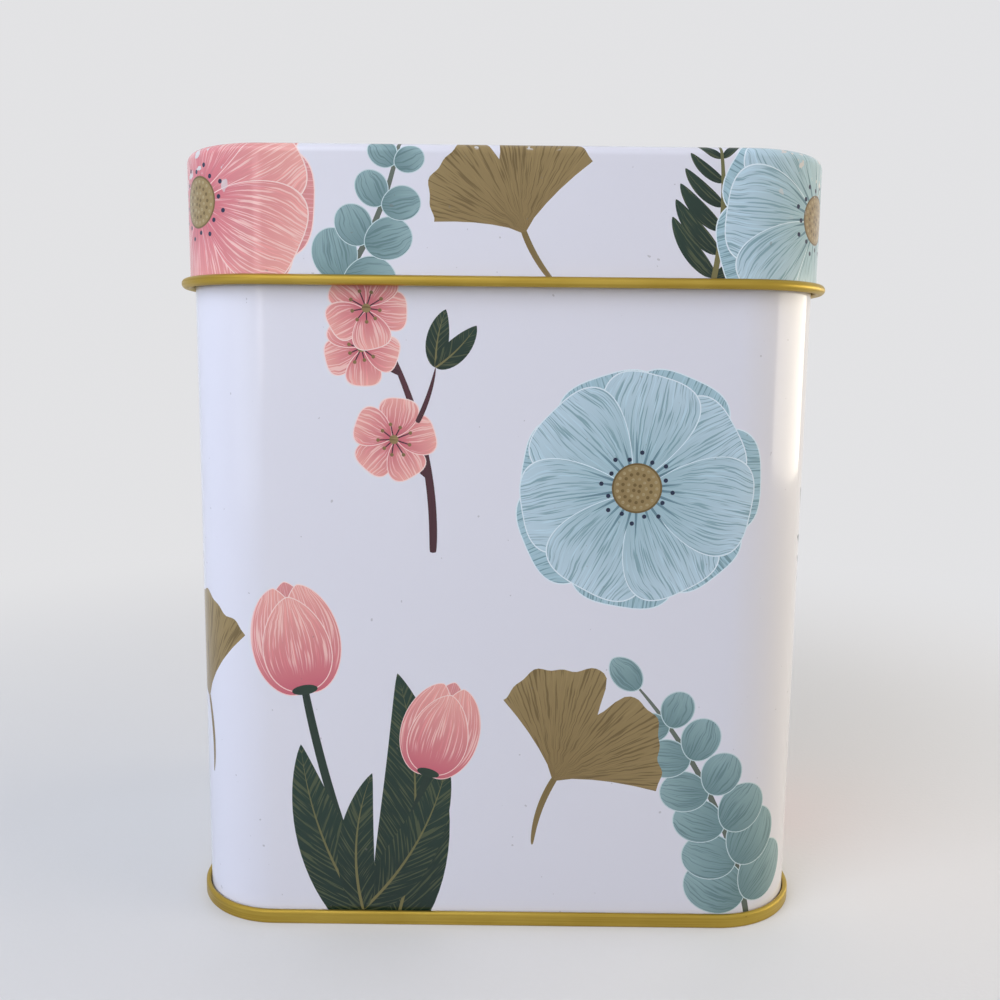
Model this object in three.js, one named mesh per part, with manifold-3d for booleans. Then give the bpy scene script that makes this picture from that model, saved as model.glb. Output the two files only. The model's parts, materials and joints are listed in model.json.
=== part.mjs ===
// A recipe box of printed tinplate: a body double-seamed to its base, a slip lid with a curled edge,
// and a deck of cards and tabbed dividers that leans on the back wall.
// Millimetres, +Z up, the front faces -Y. The origin is the middle of the seam ring that the box stands on.
import * as THREE from 'three';
import Module from 'manifold-3d';
import { mergeVertices } from 'three/addons/utils/BufferGeometryUtils.js';

const wasm = await Module();
wasm.setup();

// Box
const bodyWidth = 133;
const bodyDepth = 97;
const closedHeight = 164;
const cornerRadius = 18.4;
const gauge = 0.28;
const restGap = 0.3;

// Lid
const lidSkirt = 26.7;
const lidClearance = 0.75;
const lidEdgeRadius = 2.1;
const lidBeadDiameter = 2.14;

// Rim of the body
const rimCurlDiameter = 1.6;

// Base and its double seam
const seamHeight = 3.05;
const seamGap = 0.15;
const seamFootRadius = 0.5;
const countersink = 3;
const chuckRadius = 0.95;
const panelBorder = 4;
const panelRise = 0.6;
const panelStepRadius = 1.2;

// Lock seam up the back of the body
const lockSeamWidth = 3.4;
const lockLineWidth = 0.3;
const lockLineDepth = 0.1;

// Cards and dividers
const cardSideRoom = 15.42;
const cardHeadRoom = 1.08;
const cardStock = 0.4;
const cardCornerRadius = 3;
const dividerStock = 0.6;
const tabRise = 6.2;
const tabCornerRadius = 2;
const tabFootRadius = 1.5;
const tabInset = 4;
const leanAngle = THREE.MathUtils.degToRad(4);
const dividerCount = 6;
const cardsPerDivider = 3;
const tabPlaceCount = 3;
const leafCornerSteps = 3;

// How far a facet may stand off the true curve, in the section of the sheet and in plan
const sectionTolerance = 0.03;
const planTolerance = 0.06;

// Angles at which the two rolled edges stop, measured at the centre of the roll
const rimCurlEnd = THREE.MathUtils.degToRad(290);
const lidBeadEnd = THREE.MathUtils.degToRad(480);

// Places worked out from the sizes above
const layerPitch = gauge + seamGap;
const bodyWallOffset = -gauge / 2;
const coverHookOffset = bodyWallOffset + layerPitch;
const bodyHookOffset = coverHookOffset + layerPitch;
const seamWallOffset = bodyHookOffset + layerPitch;
const chuckWallOffset = bodyWallOffset - layerPitch;
const hookTurnRadius = layerPitch;
const hookFootHeight = layerPitch + gauge / 2 + hookTurnRadius;
const hookHeadHeight = seamHeight - gauge / 2 - hookTurnRadius;
const lidWallOffset = lidClearance + gauge / 2;
const lidUnderside = closedHeight - gauge;
const floorHeight = countersink + panelRise + gauge / 2;
const rimTop = lidUnderside - rimDrop();
const lockSeamThickness = 2 * gauge;
const lockSeamFoot = countersink + gauge + restGap;
const lockSeamTop = rimTop - rimCurlDiameter - restGap;

const materials = {
  print: { color: 0xdcdce6, roughness: 0.35, metalness: 0.1 },
  gold: { color: 0xb0954e, roughness: 0.4, metalness: 0.8 },
  card: { color: 0xf4efe4, roughness: 0.9, metalness: 0 },
  divider: { color: 0xd8c9a6, roughness: 0.9, metalness: 0 },
};

// How far the middle of the rim's roll drops below the lid's flat underside, less the roll's radius:
// the roll meets either the flat or the lid's rounded edge, and keeps the resting gap to both.
function rimDrop() {
  const rollRadius = rimCurlDiameter / 2;
  const edgeRadius = lidEdgeRadius - gauge;
  const across = Math.max(0, edgeRadius - lidClearance - rollRadius);
  const reach = Math.max(0, edgeRadius - restGap - rollRadius);
  const underEdge = edgeRadius - Math.sqrt(Math.max(0, reach * reach - across * across));
  return Math.max(restGap, underEdge - rollRadius);
}

function stepsFor(angle, radius, tolerance) {
  const step = 2 * Math.acos(1 - Math.min(1, tolerance / radius));
  return Math.max(2, Math.ceil(Math.abs(angle) / step));
}

// Plan outline of the body, moved outward by offset, counterclockwise seen from above.
function planOutline(offset) {
  const radius = cornerRadius + offset;
  const x = bodyWidth / 2 - cornerRadius;
  const y = bodyDepth / 2 - cornerRadius;
  const quarter = Math.PI / 2;
  const outline = new THREE.Path();
  outline.absarc(x, y, radius, 0, quarter);
  outline.absarc(-x, y, radius, quarter, 2 * quarter);
  outline.absarc(-x, -y, radius, 2 * quarter, 3 * quarter);
  outline.absarc(x, -y, radius, 3 * quarter, 4 * quarter);
  const steps = stepsFor(quarter, cornerRadius, planTolerance);
  return outline.curves.filter((curve) => curve.isEllipseCurve).flatMap((arc) => arc.getPoints(steps));
}

// Points along a line of straight and round stretches, each with the direction that the line has there.
function tracePath(path) {
  const trace = [];
  for (const curve of path.curves) {
    const arc = curve.isEllipseCurve;
    const steps = arc ? stepsFor(curve.aEndAngle - curve.aStartAngle, curve.xRadius, sectionTolerance) : 1;
    for (let step = 0; step <= steps; step += 1) {
      const point = curve.getPoint(step / steps);
      const last = trace.at(-1);
      if (!last || last.point.distanceTo(point) > gauge / 100) {
        trace.push({ point, direction: curve.getTangent(step / steps) });
      }
    }
  }
  return trace;
}

// Outline of a sheet of the box's gauge whose middle follows the path: x is the offset from the
// body's outer face and y the height. It runs counterclockwise.
function sheetSection(path) {
  const sides = [1, -1].map((side) =>
    tracePath(path).map(({ point, direction }) => {
      const normal = new THREE.Vector2(direction.y, -direction.x);
      return point.clone().addScaledVector(normal, (side * gauge) / 2);
    }),
  );
  const section = [...sides[0], ...sides[1].reverse()];
  return THREE.ShapeUtils.area(section) > 0 ? section : section.reverse();
}

// Carries a section round the plan outline. A closed section makes a ring. An open one, whose line
// starts on the flat panel, makes a tray with that panel.
function sweepSection(section, closed) {
  const rings = section.map((corner) => planOutline(corner.x).map(({ x, y }) => [x, y, corner.y]));
  const around = rings[0].length;
  const index = [];
  const bands = closed ? rings.length : rings.length - 1;
  for (let band = 0; band < bands; band += 1) {
    const low = band * around;
    const high = ((band + 1) % rings.length) * around;
    for (let place = 0; place < around; place += 1) {
      const next = (place + 1) % around;
      index.push(low + place, low + next, high + next);
      index.push(low + place, high + next, high + place);
    }
  }
  if (!closed) {
    const top = (rings.length - 1) * around;
    for (let place = 1; place < around - 1; place += 1) {
      index.push(top, top + place, top + place + 1);
      index.push(0, place + 1, place);
    }
  }
  const geometry = new THREE.BufferGeometry();
  geometry.setAttribute('position', new THREE.Float32BufferAttribute(rings.flat(2), 3));
  geometry.setIndex(index);
  return geometry;
}

function toSolid(geometry) {
  const bare = geometry.clone();
  bare.deleteAttribute('normal');
  bare.deleteAttribute('uv');
  const merged = mergeVertices(bare);
  const vertProperties = new Float32Array(merged.attributes.position.array);
  const triVerts = new Uint32Array(merged.index.array);
  return new wasm.Manifold(new wasm.Mesh({ numProp: 3, vertProperties, triVerts }));
}

function toGeometry(solid) {
  const { vertProperties, triVerts } = solid.getMesh();
  const geometry = new THREE.BufferGeometry();
  geometry.setAttribute('position', new THREE.BufferAttribute(vertProperties, 3));
  geometry.setIndex(new THREE.BufferAttribute(triVerts, 1));
  return geometry;
}

// Body wall: from the tip of its hook in the seam, under the foot, up the wall and into the inward roll.
function bodyLine() {
  const rollRadius = (rimCurlDiameter - gauge) / 2;
  const rollHeight = rimTop - rimCurlDiameter / 2;
  const line = new THREE.Path();
  line.moveTo(bodyHookOffset, hookHeadHeight);
  line.lineTo(bodyHookOffset, hookFootHeight);
  line.absarc(coverHookOffset, hookFootHeight, hookTurnRadius, 0, -Math.PI, true);
  line.lineTo(bodyWallOffset, rollHeight);
  line.absarc(bodyWallOffset - rollRadius, rollHeight, rollRadius, 0, rimCurlEnd);
  return line;
}

// Base plate: from the raised panel out over its step, down the chuck wall, under the foot, up the
// seam wall and over into the hook that holds the body's hook.
function baseLine() {
  const footRadius = seamFootRadius - gauge / 2;
  const footHeight = gauge / 2 + footRadius;
  const quarter = Math.PI / 2;
  const stepAngle = Math.acos(1 - panelRise / (2 * panelStepRadius));
  const stepRun = panelStepRadius * Math.sin(stepAngle);
  const stepFoot = chuckWallOffset - chuckRadius - panelBorder;
  const stepHead = stepFoot - 2 * stepRun;
  const headCentre = countersink + panelRise - panelStepRadius;
  const line = new THREE.Path();
  line.moveTo(stepHead - panelBorder, countersink + panelRise);
  line.lineTo(stepHead, countersink + panelRise);
  line.absarc(stepHead, headCentre, panelStepRadius, quarter, quarter - stepAngle, true);
  line.absarc(stepFoot, countersink + panelStepRadius, panelStepRadius, -quarter - stepAngle, -quarter);
  line.absarc(chuckWallOffset - chuckRadius, countersink - chuckRadius, chuckRadius, quarter, 0, true);
  line.absarc(chuckWallOffset + footRadius, footHeight, footRadius, 2 * quarter, 3 * quarter);
  line.absarc(seamWallOffset - footRadius, footHeight, footRadius, 3 * quarter, 4 * quarter);
  line.absarc(bodyHookOffset, hookHeadHeight, hookTurnRadius, 0, Math.PI);
  line.lineTo(coverHookOffset, hookFootHeight);
  return line;
}

// Lid: from the flat top, over the rounded edge, down the skirt and out into the rolled bead.
function lidLine() {
  const edgeRadius = lidEdgeRadius - gauge / 2;
  const beadRadius = (lidBeadDiameter - gauge) / 2;
  const top = closedHeight - gauge / 2;
  const beadHeight = closedHeight - lidSkirt;
  const line = new THREE.Path();
  line.moveTo(lidWallOffset - edgeRadius - lidEdgeRadius, top);
  line.lineTo(lidWallOffset - edgeRadius, top);
  line.absarc(lidWallOffset - edgeRadius, top - edgeRadius, edgeRadius, Math.PI / 2, 0, true);
  line.lineTo(lidWallOffset, beadHeight);
  line.absarc(lidWallOffset + beadRadius, beadHeight, beadRadius, Math.PI, lidBeadEnd);
  return line;
}

// The folded layers of the lock seam, which stand inside the back wall.
function lockSeamFold() {
  const outer = bodyDepth / 2 - gauge / 2;
  const inner = bodyDepth / 2 - gauge - lockSeamThickness;
  const half = lockSeamWidth / 2;
  const round = lockSeamThickness / 2;
  const section = new THREE.Shape();
  section.moveTo(-half, outer);
  section.absarc(-half + round, inner + round, round, Math.PI, 1.5 * Math.PI);
  section.absarc(half - round, inner + round, round, 1.5 * Math.PI, 2 * Math.PI);
  section.lineTo(half, outer);
  return standUp(section, lockSeamFoot, lockSeamTop);
}

// The hairline that the fold leaves on the outside.
function lockSeamLine() {
  const face = bodyDepth / 2;
  const section = new THREE.Shape();
  section.moveTo(lockSeamWidth / 2 - lockLineWidth, face + lockLineDepth);
  section.lineTo(lockSeamWidth / 2 - lockLineWidth / 2, face - lockLineDepth);
  section.lineTo(lockSeamWidth / 2, face + lockLineDepth);
  return standUp(section, lockSeamFoot + restGap, lockSeamTop);
}

function standUp(section, foot, top) {
  const depth = top - foot;
  const curveSegments = stepsFor(Math.PI / 2, lockSeamThickness / 2, sectionTolerance);
  const geometry = new THREE.ExtrudeGeometry(section, { depth, bevelEnabled: false, curveSegments });
  return toSolid(geometry.translate(0, 0, foot));
}

function bodyShell() {
  const sleeve = toSolid(sweepSection(sheetSection(bodyLine()), true));
  const folded = sleeve.add(lockSeamFold()).subtract(lockSeamLine());
  return toGeometry(folded);
}

// How far the wall's rounded corner reaches in at a distance from the middle of the wall.
function cornerReach(fromMiddle) {
  const radius = cornerRadius - gauge;
  const past = Math.min(radius, Math.max(0, fromMiddle - (bodyWidth / 2 - cornerRadius)));
  return radius - Math.sqrt(radius * radius - past * past);
}

const cardWidth = bodyWidth - 2 * (gauge + cardSideRoom);
const cardFoot = floorHeight + restGap;
const cardHeight = lidUnderside - cardHeadRoom - tabRise - cardFoot;

// Face of a card, or of a divider with its tab at one of the places across its top.
function leafShape(tabPlace) {
  const half = cardWidth / 2;
  const r = cardCornerRadius;
  const quarter = Math.PI / 2;
  const face = new THREE.Shape();
  face.absarc(-half + r, r, r, 2 * quarter, 3 * quarter);
  face.absarc(half - r, r, r, 3 * quarter, 4 * quarter);
  face.absarc(half - r, cardHeight - r, r, 0, quarter);
  if (tabPlace !== null) {
    const pitch = (cardWidth - 2 * tabInset) / tabPlaceCount;
    const left = -half + tabInset + tabPlace * pitch;
    addTab(face, left, left + pitch);
  }
  face.absarc(-half + r, cardHeight - r, r, quarter, 2 * quarter);
  face.closePath();
  return face;
}

function addTab(face, left, right) {
  const top = cardHeight + tabRise;
  const quarter = Math.PI / 2;
  face.absarc(right, cardHeight + tabFootRadius, tabFootRadius, -quarter, -2 * quarter, true);
  face.absarc(right - tabFootRadius - tabCornerRadius, top - tabCornerRadius, tabCornerRadius, 0, quarter);
  face.absarc(left + tabFootRadius + tabCornerRadius, top - tabCornerRadius, tabCornerRadius, quarter, 2 * quarter);
  face.absarc(left, cardHeight + tabFootRadius, tabFootRadius, 0, -quarter, true);
}

// A leaf standing on its lower edge, with its thickness along Y and the origin under its middle.
function leaf(stock, tabPlace) {
  const options = { depth: stock, bevelEnabled: false, curveSegments: leafCornerSteps };
  const geometry = new THREE.ExtrudeGeometry(leafShape(tabPlace), options);
  return geometry.translate(0, 0, -stock / 2).rotateX(Math.PI / 2);
}

// The deck from its rearmost leaf forward, each leaf with its name, stock and tab place.
function deckList() {
  const leaves = [];
  for (let divider = 1; divider <= dividerCount; divider += 1) {
    const tabPlace = (divider - 1) % tabPlaceCount;
    leaves.push({ name: `divider_${divider}`, stock: dividerStock, tabPlace });
    for (let card = 1; card <= cardsPerDivider; card += 1) {
      const number = (divider - 1) * cardsPerDivider + card;
      leaves.push({ name: `recipe_card_${number}`, stock: cardStock, tabPlace: null });
    }
  }
  return leaves.reverse();
}

// The rearmost leaf's top edge rests against the lock seam, and the others lean along with it.
function cardDeck() {
  const deck = new THREE.Group();
  const wallFace = bodyDepth / 2 - gauge - cornerReach(cardWidth / 2);
  let back = wallFace - lockSeamThickness - restGap - cardHeight * Math.sin(leanAngle);
  for (const { name, stock, tabPlace } of deckList()) {
    const finish = tabPlace === null ? materials.card : materials.divider;
    const mesh = namedMesh(name, leaf(stock, tabPlace), finish);
    const across = stock / Math.cos(leanAngle);
    mesh.position.set(0, back - across / 2, cardFoot);
    mesh.rotation.x = -leanAngle;
    deck.add(mesh);
    back -= across + restGap / Math.cos(leanAngle);
  }
  return deck;
}

function namedMesh(name, geometry, finish) {
  const mesh = new THREE.Mesh(geometry, new THREE.MeshStandardMaterial(finish));
  mesh.name = name;
  return mesh;
}

const recipeBox = new THREE.Group();
recipeBox.add(namedMesh('body_shell', bodyShell(), materials.print));
recipeBox.add(namedMesh('base_plate', sweepSection(sheetSection(baseLine()), false), materials.gold));
recipeBox.add(namedMesh('lid_shell', sweepSection(sheetSection(lidLine()), false), materials.print));
recipeBox.add(cardDeck());

export default recipeBox;
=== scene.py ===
"""Looks of a printed tinplate recipe box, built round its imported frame.

The body and the lid are single sheets. Their outer face carries a botanical print under varnish,
and their inner face is gold lacquer, which the lid's outward curl brings outside as its bead.
Lengths are in millimetres until a mesh is written, and the front of the box faces -Y.
"""

from __future__ import annotations

import json
import logging
import math
import random
from dataclasses import dataclass, field, replace
from enum import Enum

import bmesh
import bpy
import numpy as np
from bpy.types import Material, Mesh, Node, NodeTree, Object
from mathutils import Matrix, Vector
from mathutils.geometry import delaunay_2d_cdt

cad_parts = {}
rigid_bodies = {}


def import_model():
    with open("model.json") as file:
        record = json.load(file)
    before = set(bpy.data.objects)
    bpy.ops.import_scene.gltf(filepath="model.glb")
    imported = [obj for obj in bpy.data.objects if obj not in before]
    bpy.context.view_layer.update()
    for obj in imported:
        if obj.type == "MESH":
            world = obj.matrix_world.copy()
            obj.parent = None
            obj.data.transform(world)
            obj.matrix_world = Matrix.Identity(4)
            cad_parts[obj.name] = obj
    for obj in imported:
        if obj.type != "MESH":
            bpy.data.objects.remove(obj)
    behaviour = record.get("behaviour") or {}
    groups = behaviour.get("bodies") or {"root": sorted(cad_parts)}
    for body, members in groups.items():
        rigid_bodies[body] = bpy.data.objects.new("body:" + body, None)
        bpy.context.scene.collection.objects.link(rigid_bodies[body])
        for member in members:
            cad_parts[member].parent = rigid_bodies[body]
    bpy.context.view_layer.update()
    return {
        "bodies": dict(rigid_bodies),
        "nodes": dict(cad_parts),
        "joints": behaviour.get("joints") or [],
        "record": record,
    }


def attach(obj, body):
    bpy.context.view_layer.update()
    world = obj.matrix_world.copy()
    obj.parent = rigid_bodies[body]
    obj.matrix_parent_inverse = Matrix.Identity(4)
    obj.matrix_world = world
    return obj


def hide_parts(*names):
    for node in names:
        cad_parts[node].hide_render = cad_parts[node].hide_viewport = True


LOG = logging.getLogger("recipe_box")
MM = 0.001
TURN = 2 * math.pi
QUARTER = math.pi / 2
TINY = 1e-6
ON_EDGE = 1e-5
BRUSH_MAP = 100.0
SKY = (250, 250, 252)

Triple = tuple[float, float, float]
Colour = Triple
Point = tuple[float, float]
Span = Point
Faces = list[tuple[int, ...]]
Array = np.ndarray
Cut = tuple[Array, Array, Array]
Socket = bpy.types.NodeSocket


class Weave(Enum):
    """How the brush strokes of a printed shape lie."""

    ALONG = "along"
    HERRINGBONE = "herringbone"


class Chart(Enum):
    """What a motif's place on the print is measured in."""

    GIRTH = "girth"
    BLANK = "blank"


def linear(colour: Colour) -> Colour:
    """Turn a colour of 0 to 255 as printed into the linear shares that shaders use."""
    shares = (value / 255 for value in colour)
    return tuple(v / 12.92 if v <= 0.04045 else ((v + 0.055) / 1.055) ** 2.4 for v in shares)


@dataclass(frozen=True)
class Ink:
    """The inks of one printed shape.

    Args:
        foot: colour at the shape's foot, 0 to 255.
        tip: colour at its tip.
        hair: colour of the fine brush strokes.
        strokes: how strong the strokes are, 0 to 1.
        bare: share of the length from the foot that has no strokes.
    """

    foot: Colour
    tip: Colour
    hair: Colour
    strokes: float = 0.6
    bare: float = 0.0


GROUND = Ink((229, 229, 236), (229, 229, 236), (229, 229, 236), 0.0)
GOLD = Ink((138, 116, 72), (150, 129, 84), (101, 82, 44), 0.75)
GOLD_PALE = Ink((166, 148, 104), (176, 158, 116), (140, 121, 76), 0.5)
GOLD_STEM = Ink((126, 106, 62), (134, 114, 70), (110, 92, 50), 0.3)
GOLD_PLAIN = Ink((142, 120, 76), (154, 132, 86), (101, 82, 44), 0.0)
GOLD_DEEP = Ink((106, 86, 46), (112, 92, 50), (96, 78, 40), 0.0)
GREEN = Ink((12, 36, 27), (26, 54, 42), (88, 96, 64), 0.6)
GREEN_VEIN = Ink((122, 114, 70), (104, 106, 66), (122, 114, 70), 0.0)
GREEN_STEM = Ink((28, 48, 38), (36, 58, 44), (16, 34, 26), 0.3)
BLUE = Ink((158, 190, 198), (192, 216, 226), (122, 158, 167), 0.8, 0.15)
BLUE_BACK = Ink((140, 174, 182), (168, 200, 210), (110, 144, 152), 0.8, 0.1)
BLUE_RIM = Ink((222, 238, 243), (228, 240, 245), (206, 226, 234), 0.3)
BLUE_THROAT = Ink((92, 126, 140), (122, 156, 166), (80, 112, 124), 0.4)
TEAL = Ink((110, 142, 144), (146, 176, 178), (86, 118, 120), 0.6)
TEAL_RIM = Ink((196, 216, 218), (202, 220, 222), (184, 206, 208), 0.2)
TEAL_STEM = Ink((92, 102, 92), (104, 112, 100), (78, 88, 78), 0.3)
PINK = Ink((205, 102, 117), (238, 168, 158), (251, 212, 202), 0.75, 0.2)
PINK_BACK = Ink((186, 92, 108), (222, 146, 144), (240, 190, 184), 0.6, 0.2)
PINK_RIM = Ink((248, 214, 206), (250, 222, 214), (244, 206, 198), 0.2)
PLUM = Ink((70, 34, 44), (84, 44, 52), (52, 24, 32), 0.3)
NAVY = Ink((22, 32, 60), (30, 42, 70), (14, 22, 44), 0.2)


@dataclass(frozen=True)
class Blade:
    """A leaf, petal, stem or dot: a bent spine whose width swells from the foot and tapers to the tip.

    Args:
        foot: where the spine starts, in the motif's own millimetres.
        heading: the spine's direction there, in radians.
        length: length of the spine.
        width: full width where the blade is widest.
        ink: its inks.
        swell: power of the width at the foot; 0.5 is round and 1 is pointed.
        taper: power of the width at the tip.
        bend: how far the spine turns over its length, in radians.
        weave: how its strokes lie.
        herringbone_lean: how far herringbone strokes turn from the spine, in radians.
    """

    foot: Point
    heading: float
    length: float
    width: float
    ink: Ink
    swell: float = 0.75
    taper: float = 0.75
    bend: float = 0.0
    weave: Weave = Weave.ALONG
    herringbone_lean: float = 0.6

    def spine(self, share: Array) -> tuple[Array, Array]:
        """Points and left-hand normals of the spine.

        Args:
            share: places along the spine, 0 at the foot and 1 at the tip.

        Returns:
            The points and the normals, each one row for a place.
        """
        angle = self.heading + self.bend * share
        normal = np.stack([-np.sin(angle), np.cos(angle)], axis=-1)
        if abs(self.bend) < TINY:
            along = np.stack([np.cos(angle), np.sin(angle)], axis=-1) * (share * self.length)[:, None]
            return np.array(self.foot) + along, normal
        radius = self.length / self.bend
        start = np.array([-math.sin(self.heading), math.cos(self.heading)])
        return np.array(self.foot) + radius * (start - normal), normal

    def half_width(self, share: Array) -> Array:
        """Half of the blade's width.

        Args:
            share: places along the spine, 0 at the foot and 1 at the tip.

        Returns:
            The half width at each place.
        """
        widest = self.swell / (self.swell + self.taper)
        rise = np.clip(share / widest, 0, None) ** self.swell
        fall = np.clip((1 - share) / (1 - widest), 0, None) ** self.taper
        return self.width / 2 * rise * fall

    def outline(self) -> Array:
        """Draw the blade's outline.

        Returns:
            Its points, counterclockwise, in the motif's millimetres.
        """
        steps = 10 + int(min(22, self.length * 0.8 + self.width * 0.6))
        share = (1 - np.cos(np.linspace(0, math.pi, steps))) / 2
        spine, normal = self.spine(share)
        half = self.half_width(share)[:, None]
        right = (spine - normal * half)[1:-1]
        left = (spine + normal * half)[-2:0:-1]
        return np.concatenate([spine[:1], right, spine[-1:], left])

    def point(self, share: float) -> Point:
        """The spine's point at a share of its length."""
        return tuple(self.spine(np.array([share]))[0][0])

    def direction(self, share: float) -> float:
        """The spine's direction at a share of its length, in radians."""
        return self.heading + self.bend * share

    def strokes(self, points: Array) -> Array:
        """Where points lie in the blade's brush work.

        Args:
            points: points in the motif's millimetres.

        Returns:
            For each point its length along a stroke, its place across the strokes, and its share
            of the way from foot to tip.
        """
        away = points - np.array(self.foot)
        if abs(self.bend) < TINY:
            ahead = np.array([math.cos(self.heading), math.sin(self.heading)])
            aside = np.array([-ahead[1], ahead[0]])
            share, side = away @ ahead / self.length, away @ aside
        else:
            radius = self.length / self.bend
            centre = np.array([-math.sin(self.heading), math.cos(self.heading)]) * radius
            spoke = (away - centre) * (-math.copysign(1, radius))
            turned = np.arctan2(spoke[:, 1], spoke[:, 0]) - (self.heading + QUARTER)
            turned = (turned + math.pi) % TURN - math.pi
            share = turned / self.bend
            side = (abs(radius) - np.linalg.norm(spoke, axis=1)) * math.copysign(1, radius)
        share = np.clip(share, 0, 1)
        along = share * self.length
        if self.weave is Weave.HERRINGBONE:
            cosine, sine = math.cos(self.herringbone_lean), math.sin(self.herringbone_lean)
            across = np.abs(side) * cosine - along * sine
            return np.stack([along * cosine + np.abs(side) * sine, across, share], -1)
        fullness = self.half_width(np.clip(share, 0.12, 0.9)) / (self.width / 2)
        return np.stack([along, side / fullness, share], -1)


@dataclass(frozen=True)
class Fan(Blade):
    """A ginkgo leaf: a fan with a wavy rim and a cleft, whose strokes run out from its foot.

    Args:
        spread: half of the fan's opening, in radians.
        waves: how many waves the rim has.
        cleft: depth of the cleft as a share of the length.
    """

    spread: float = 1.12
    waves: float = 5.0
    cleft: float = 0.34

    def outline(self) -> Array:
        """Draw the fan's outline, as for any blade."""
        turn = np.linspace(-self.spread, self.spread, 61)
        ripple = 0.028 * np.sin(turn * self.waves * 2.1) + 0.012 * np.sin(turn * self.waves * 5.3 + 1)
        reach = 1 - 0.16 * (turn / self.spread) ** 2 + ripple - self.cleft * np.exp(-((turn / 0.075) ** 2))
        rim = self.length * reach[:, None] * np.stack([np.cos(turn), np.sin(turn)], -1)
        share = np.array([[0.2], [0.4], [0.6], [0.8]])
        bow = 2 * share * (1 - share) * np.array([0.6, 0.38])
        right, left = (bow * end + share**2 * end for end in (rim[0], rim[-1]))
        local = np.concatenate([[[0.0, -0.35]], right, rim, left[::-1], [[0.0, 0.35]]])
        return local @ turn_matrix(self.heading).T + np.array(self.foot)

    def strokes(self, points: Array) -> Array:
        """Where points lie in the fan's brush work, as for any blade."""
        away = (points - np.array(self.foot)) @ turn_matrix(self.heading)
        reach = np.linalg.norm(away, axis=1)
        across = np.arctan2(away[:, 1], away[:, 0]) * self.length * 0.7
        return np.stack([reach, across, np.clip(reach / self.length, 0, 1)], -1)


def turn_matrix(angle: float) -> Array:
    """The matrix that turns column points by an angle in radians."""
    return np.array([[math.cos(angle), -math.sin(angle)], [math.sin(angle), math.cos(angle)]])


def polar(reach: float, angle: float, start: Point = (0.0, 0.0)) -> Point:
    """The point at a distance and an angle from another."""
    return start[0] + reach * math.cos(angle), start[1] + reach * math.sin(angle)


def rimmed(blade: Blade, rim: Ink, margin: float) -> list[Blade]:
    """A blade over a slightly larger one of a paler ink, which shows as its cut edge.

    Args:
        blade: the blade on top.
        rim: the paler inks.
        margin: how wide the rim shows, in millimetres.

    Returns:
        The rim and the blade, from the bottom up.
    """
    foot = polar(-margin, blade.heading, blade.foot)
    length, width = blade.length + 2 * margin, blade.width + 2 * margin
    return [replace(blade, foot=foot, length=length, width=width, ink=rim), blade]


class Motif:
    """A plant of the print, drawn as blades from the bottom up."""

    def blades(self) -> list[Blade]:
        """The motif's blades in its own millimetres, the lowest first."""
        raise NotImplementedError


@dataclass(frozen=True)
class Cosmos(Motif):
    """An open flower with two rounds of blunt petals, a dark throat and a gold button.

    Args:
        reach: radius of the flower.
        petal: inks of the upper petals.
        back: inks of the lower petals.
        rim: inks of the petals' pale edges.
        throat: inks of the short strokes round the button.
        seed: seed of the petals' small differences.
        petals: how many petals a round has.
        strokes: how many strokes the throat has.
        stamens: how many stamens stand round the button.
        button: reach and inks of the button's edge and face, as shares of the radius.
        pollen: count, reach and inks of each ring of dots on the button.
    """

    reach: float
    petal: Ink = BLUE
    back: Ink = BLUE_BACK
    rim: Ink = BLUE_RIM
    throat: Ink = BLUE_THROAT
    seed: int = 1
    petals: int = 7
    strokes: int = 22
    stamens: int = 16
    button: tuple[tuple[float, Ink], ...] = ((0.2, GOLD_DEEP), (0.185, GOLD_PLAIN))
    pollen: tuple[tuple[int, float, Ink], ...] = (
        (19, 0.157, GOLD_PALE),
        (14, 0.115, GOLD_DEEP),
        (9, 0.073, GOLD_PALE),
        (4, 0.03, GOLD_DEEP),
    )

    def blades(self) -> list[Blade]:
        """The petals, the throat, the stamens and the button, the lowest first."""
        chance = random.Random(self.seed)
        out = self.petal_round(self.back, 1.0, 0.0, chance)
        out += self.petal_round(self.petal, 0.93, 0.5, chance)
        for number in range(self.strokes):
            angle = TURN * number / self.strokes + chance.uniform(-0.08, 0.08)
            length = self.reach * chance.uniform(0.22, 0.4)
            foot = polar(self.reach * 0.1, angle)
            out.append(Blade(foot, angle, length, 0.55, self.throat, swell=0.3, taper=0.9))
        for number in range(self.stamens):
            reach = self.reach * (0.235 + 0.05 * (number % 2))
            out.append(disc(polar(reach, TURN * number / self.stamens + 0.1), 0.46, NAVY))
        return out + self.button_dots()

    def petal_round(self, ink: Ink, share: float, offset: float, chance: random.Random) -> list[Blade]:
        """One round of rimmed petals.

        Args:
            ink: the petals' inks.
            share: their length against the flower's radius.
            offset: how far the round is turned, in petals.
            chance: where their small differences are drawn from.

        Returns:
            The petals and their rims, the lowest first.
        """
        out: list[Blade] = []
        for number in range(self.petals):
            angle = TURN * (number + offset) / self.petals + chance.uniform(-0.07, 0.07)
            length = self.reach * share * chance.uniform(0.86, 0.94)
            width = self.reach * chance.uniform(0.74, 0.84)
            bend = chance.uniform(-0.18, 0.18)
            foot = polar(self.reach * 0.06, angle)
            petal = Blade(foot, angle, length, width, ink, swell=0.85, taper=0.33, bend=bend)
            out += rimmed(petal, self.rim, 0.22)
        return out

    def button_dots(self) -> list[Blade]:
        """The gold button in the middle, with its rings of pollen."""
        out = [disc((0.0, 0.0), self.reach * share, ink) for share, ink in self.button]
        for count, share, ink in self.pollen:
            for number in range(count):
                angle = TURN * (number + share * 9) / count
                out.append(disc(polar(self.reach * share, angle), self.reach * 0.0135, ink))
        return out


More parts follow.
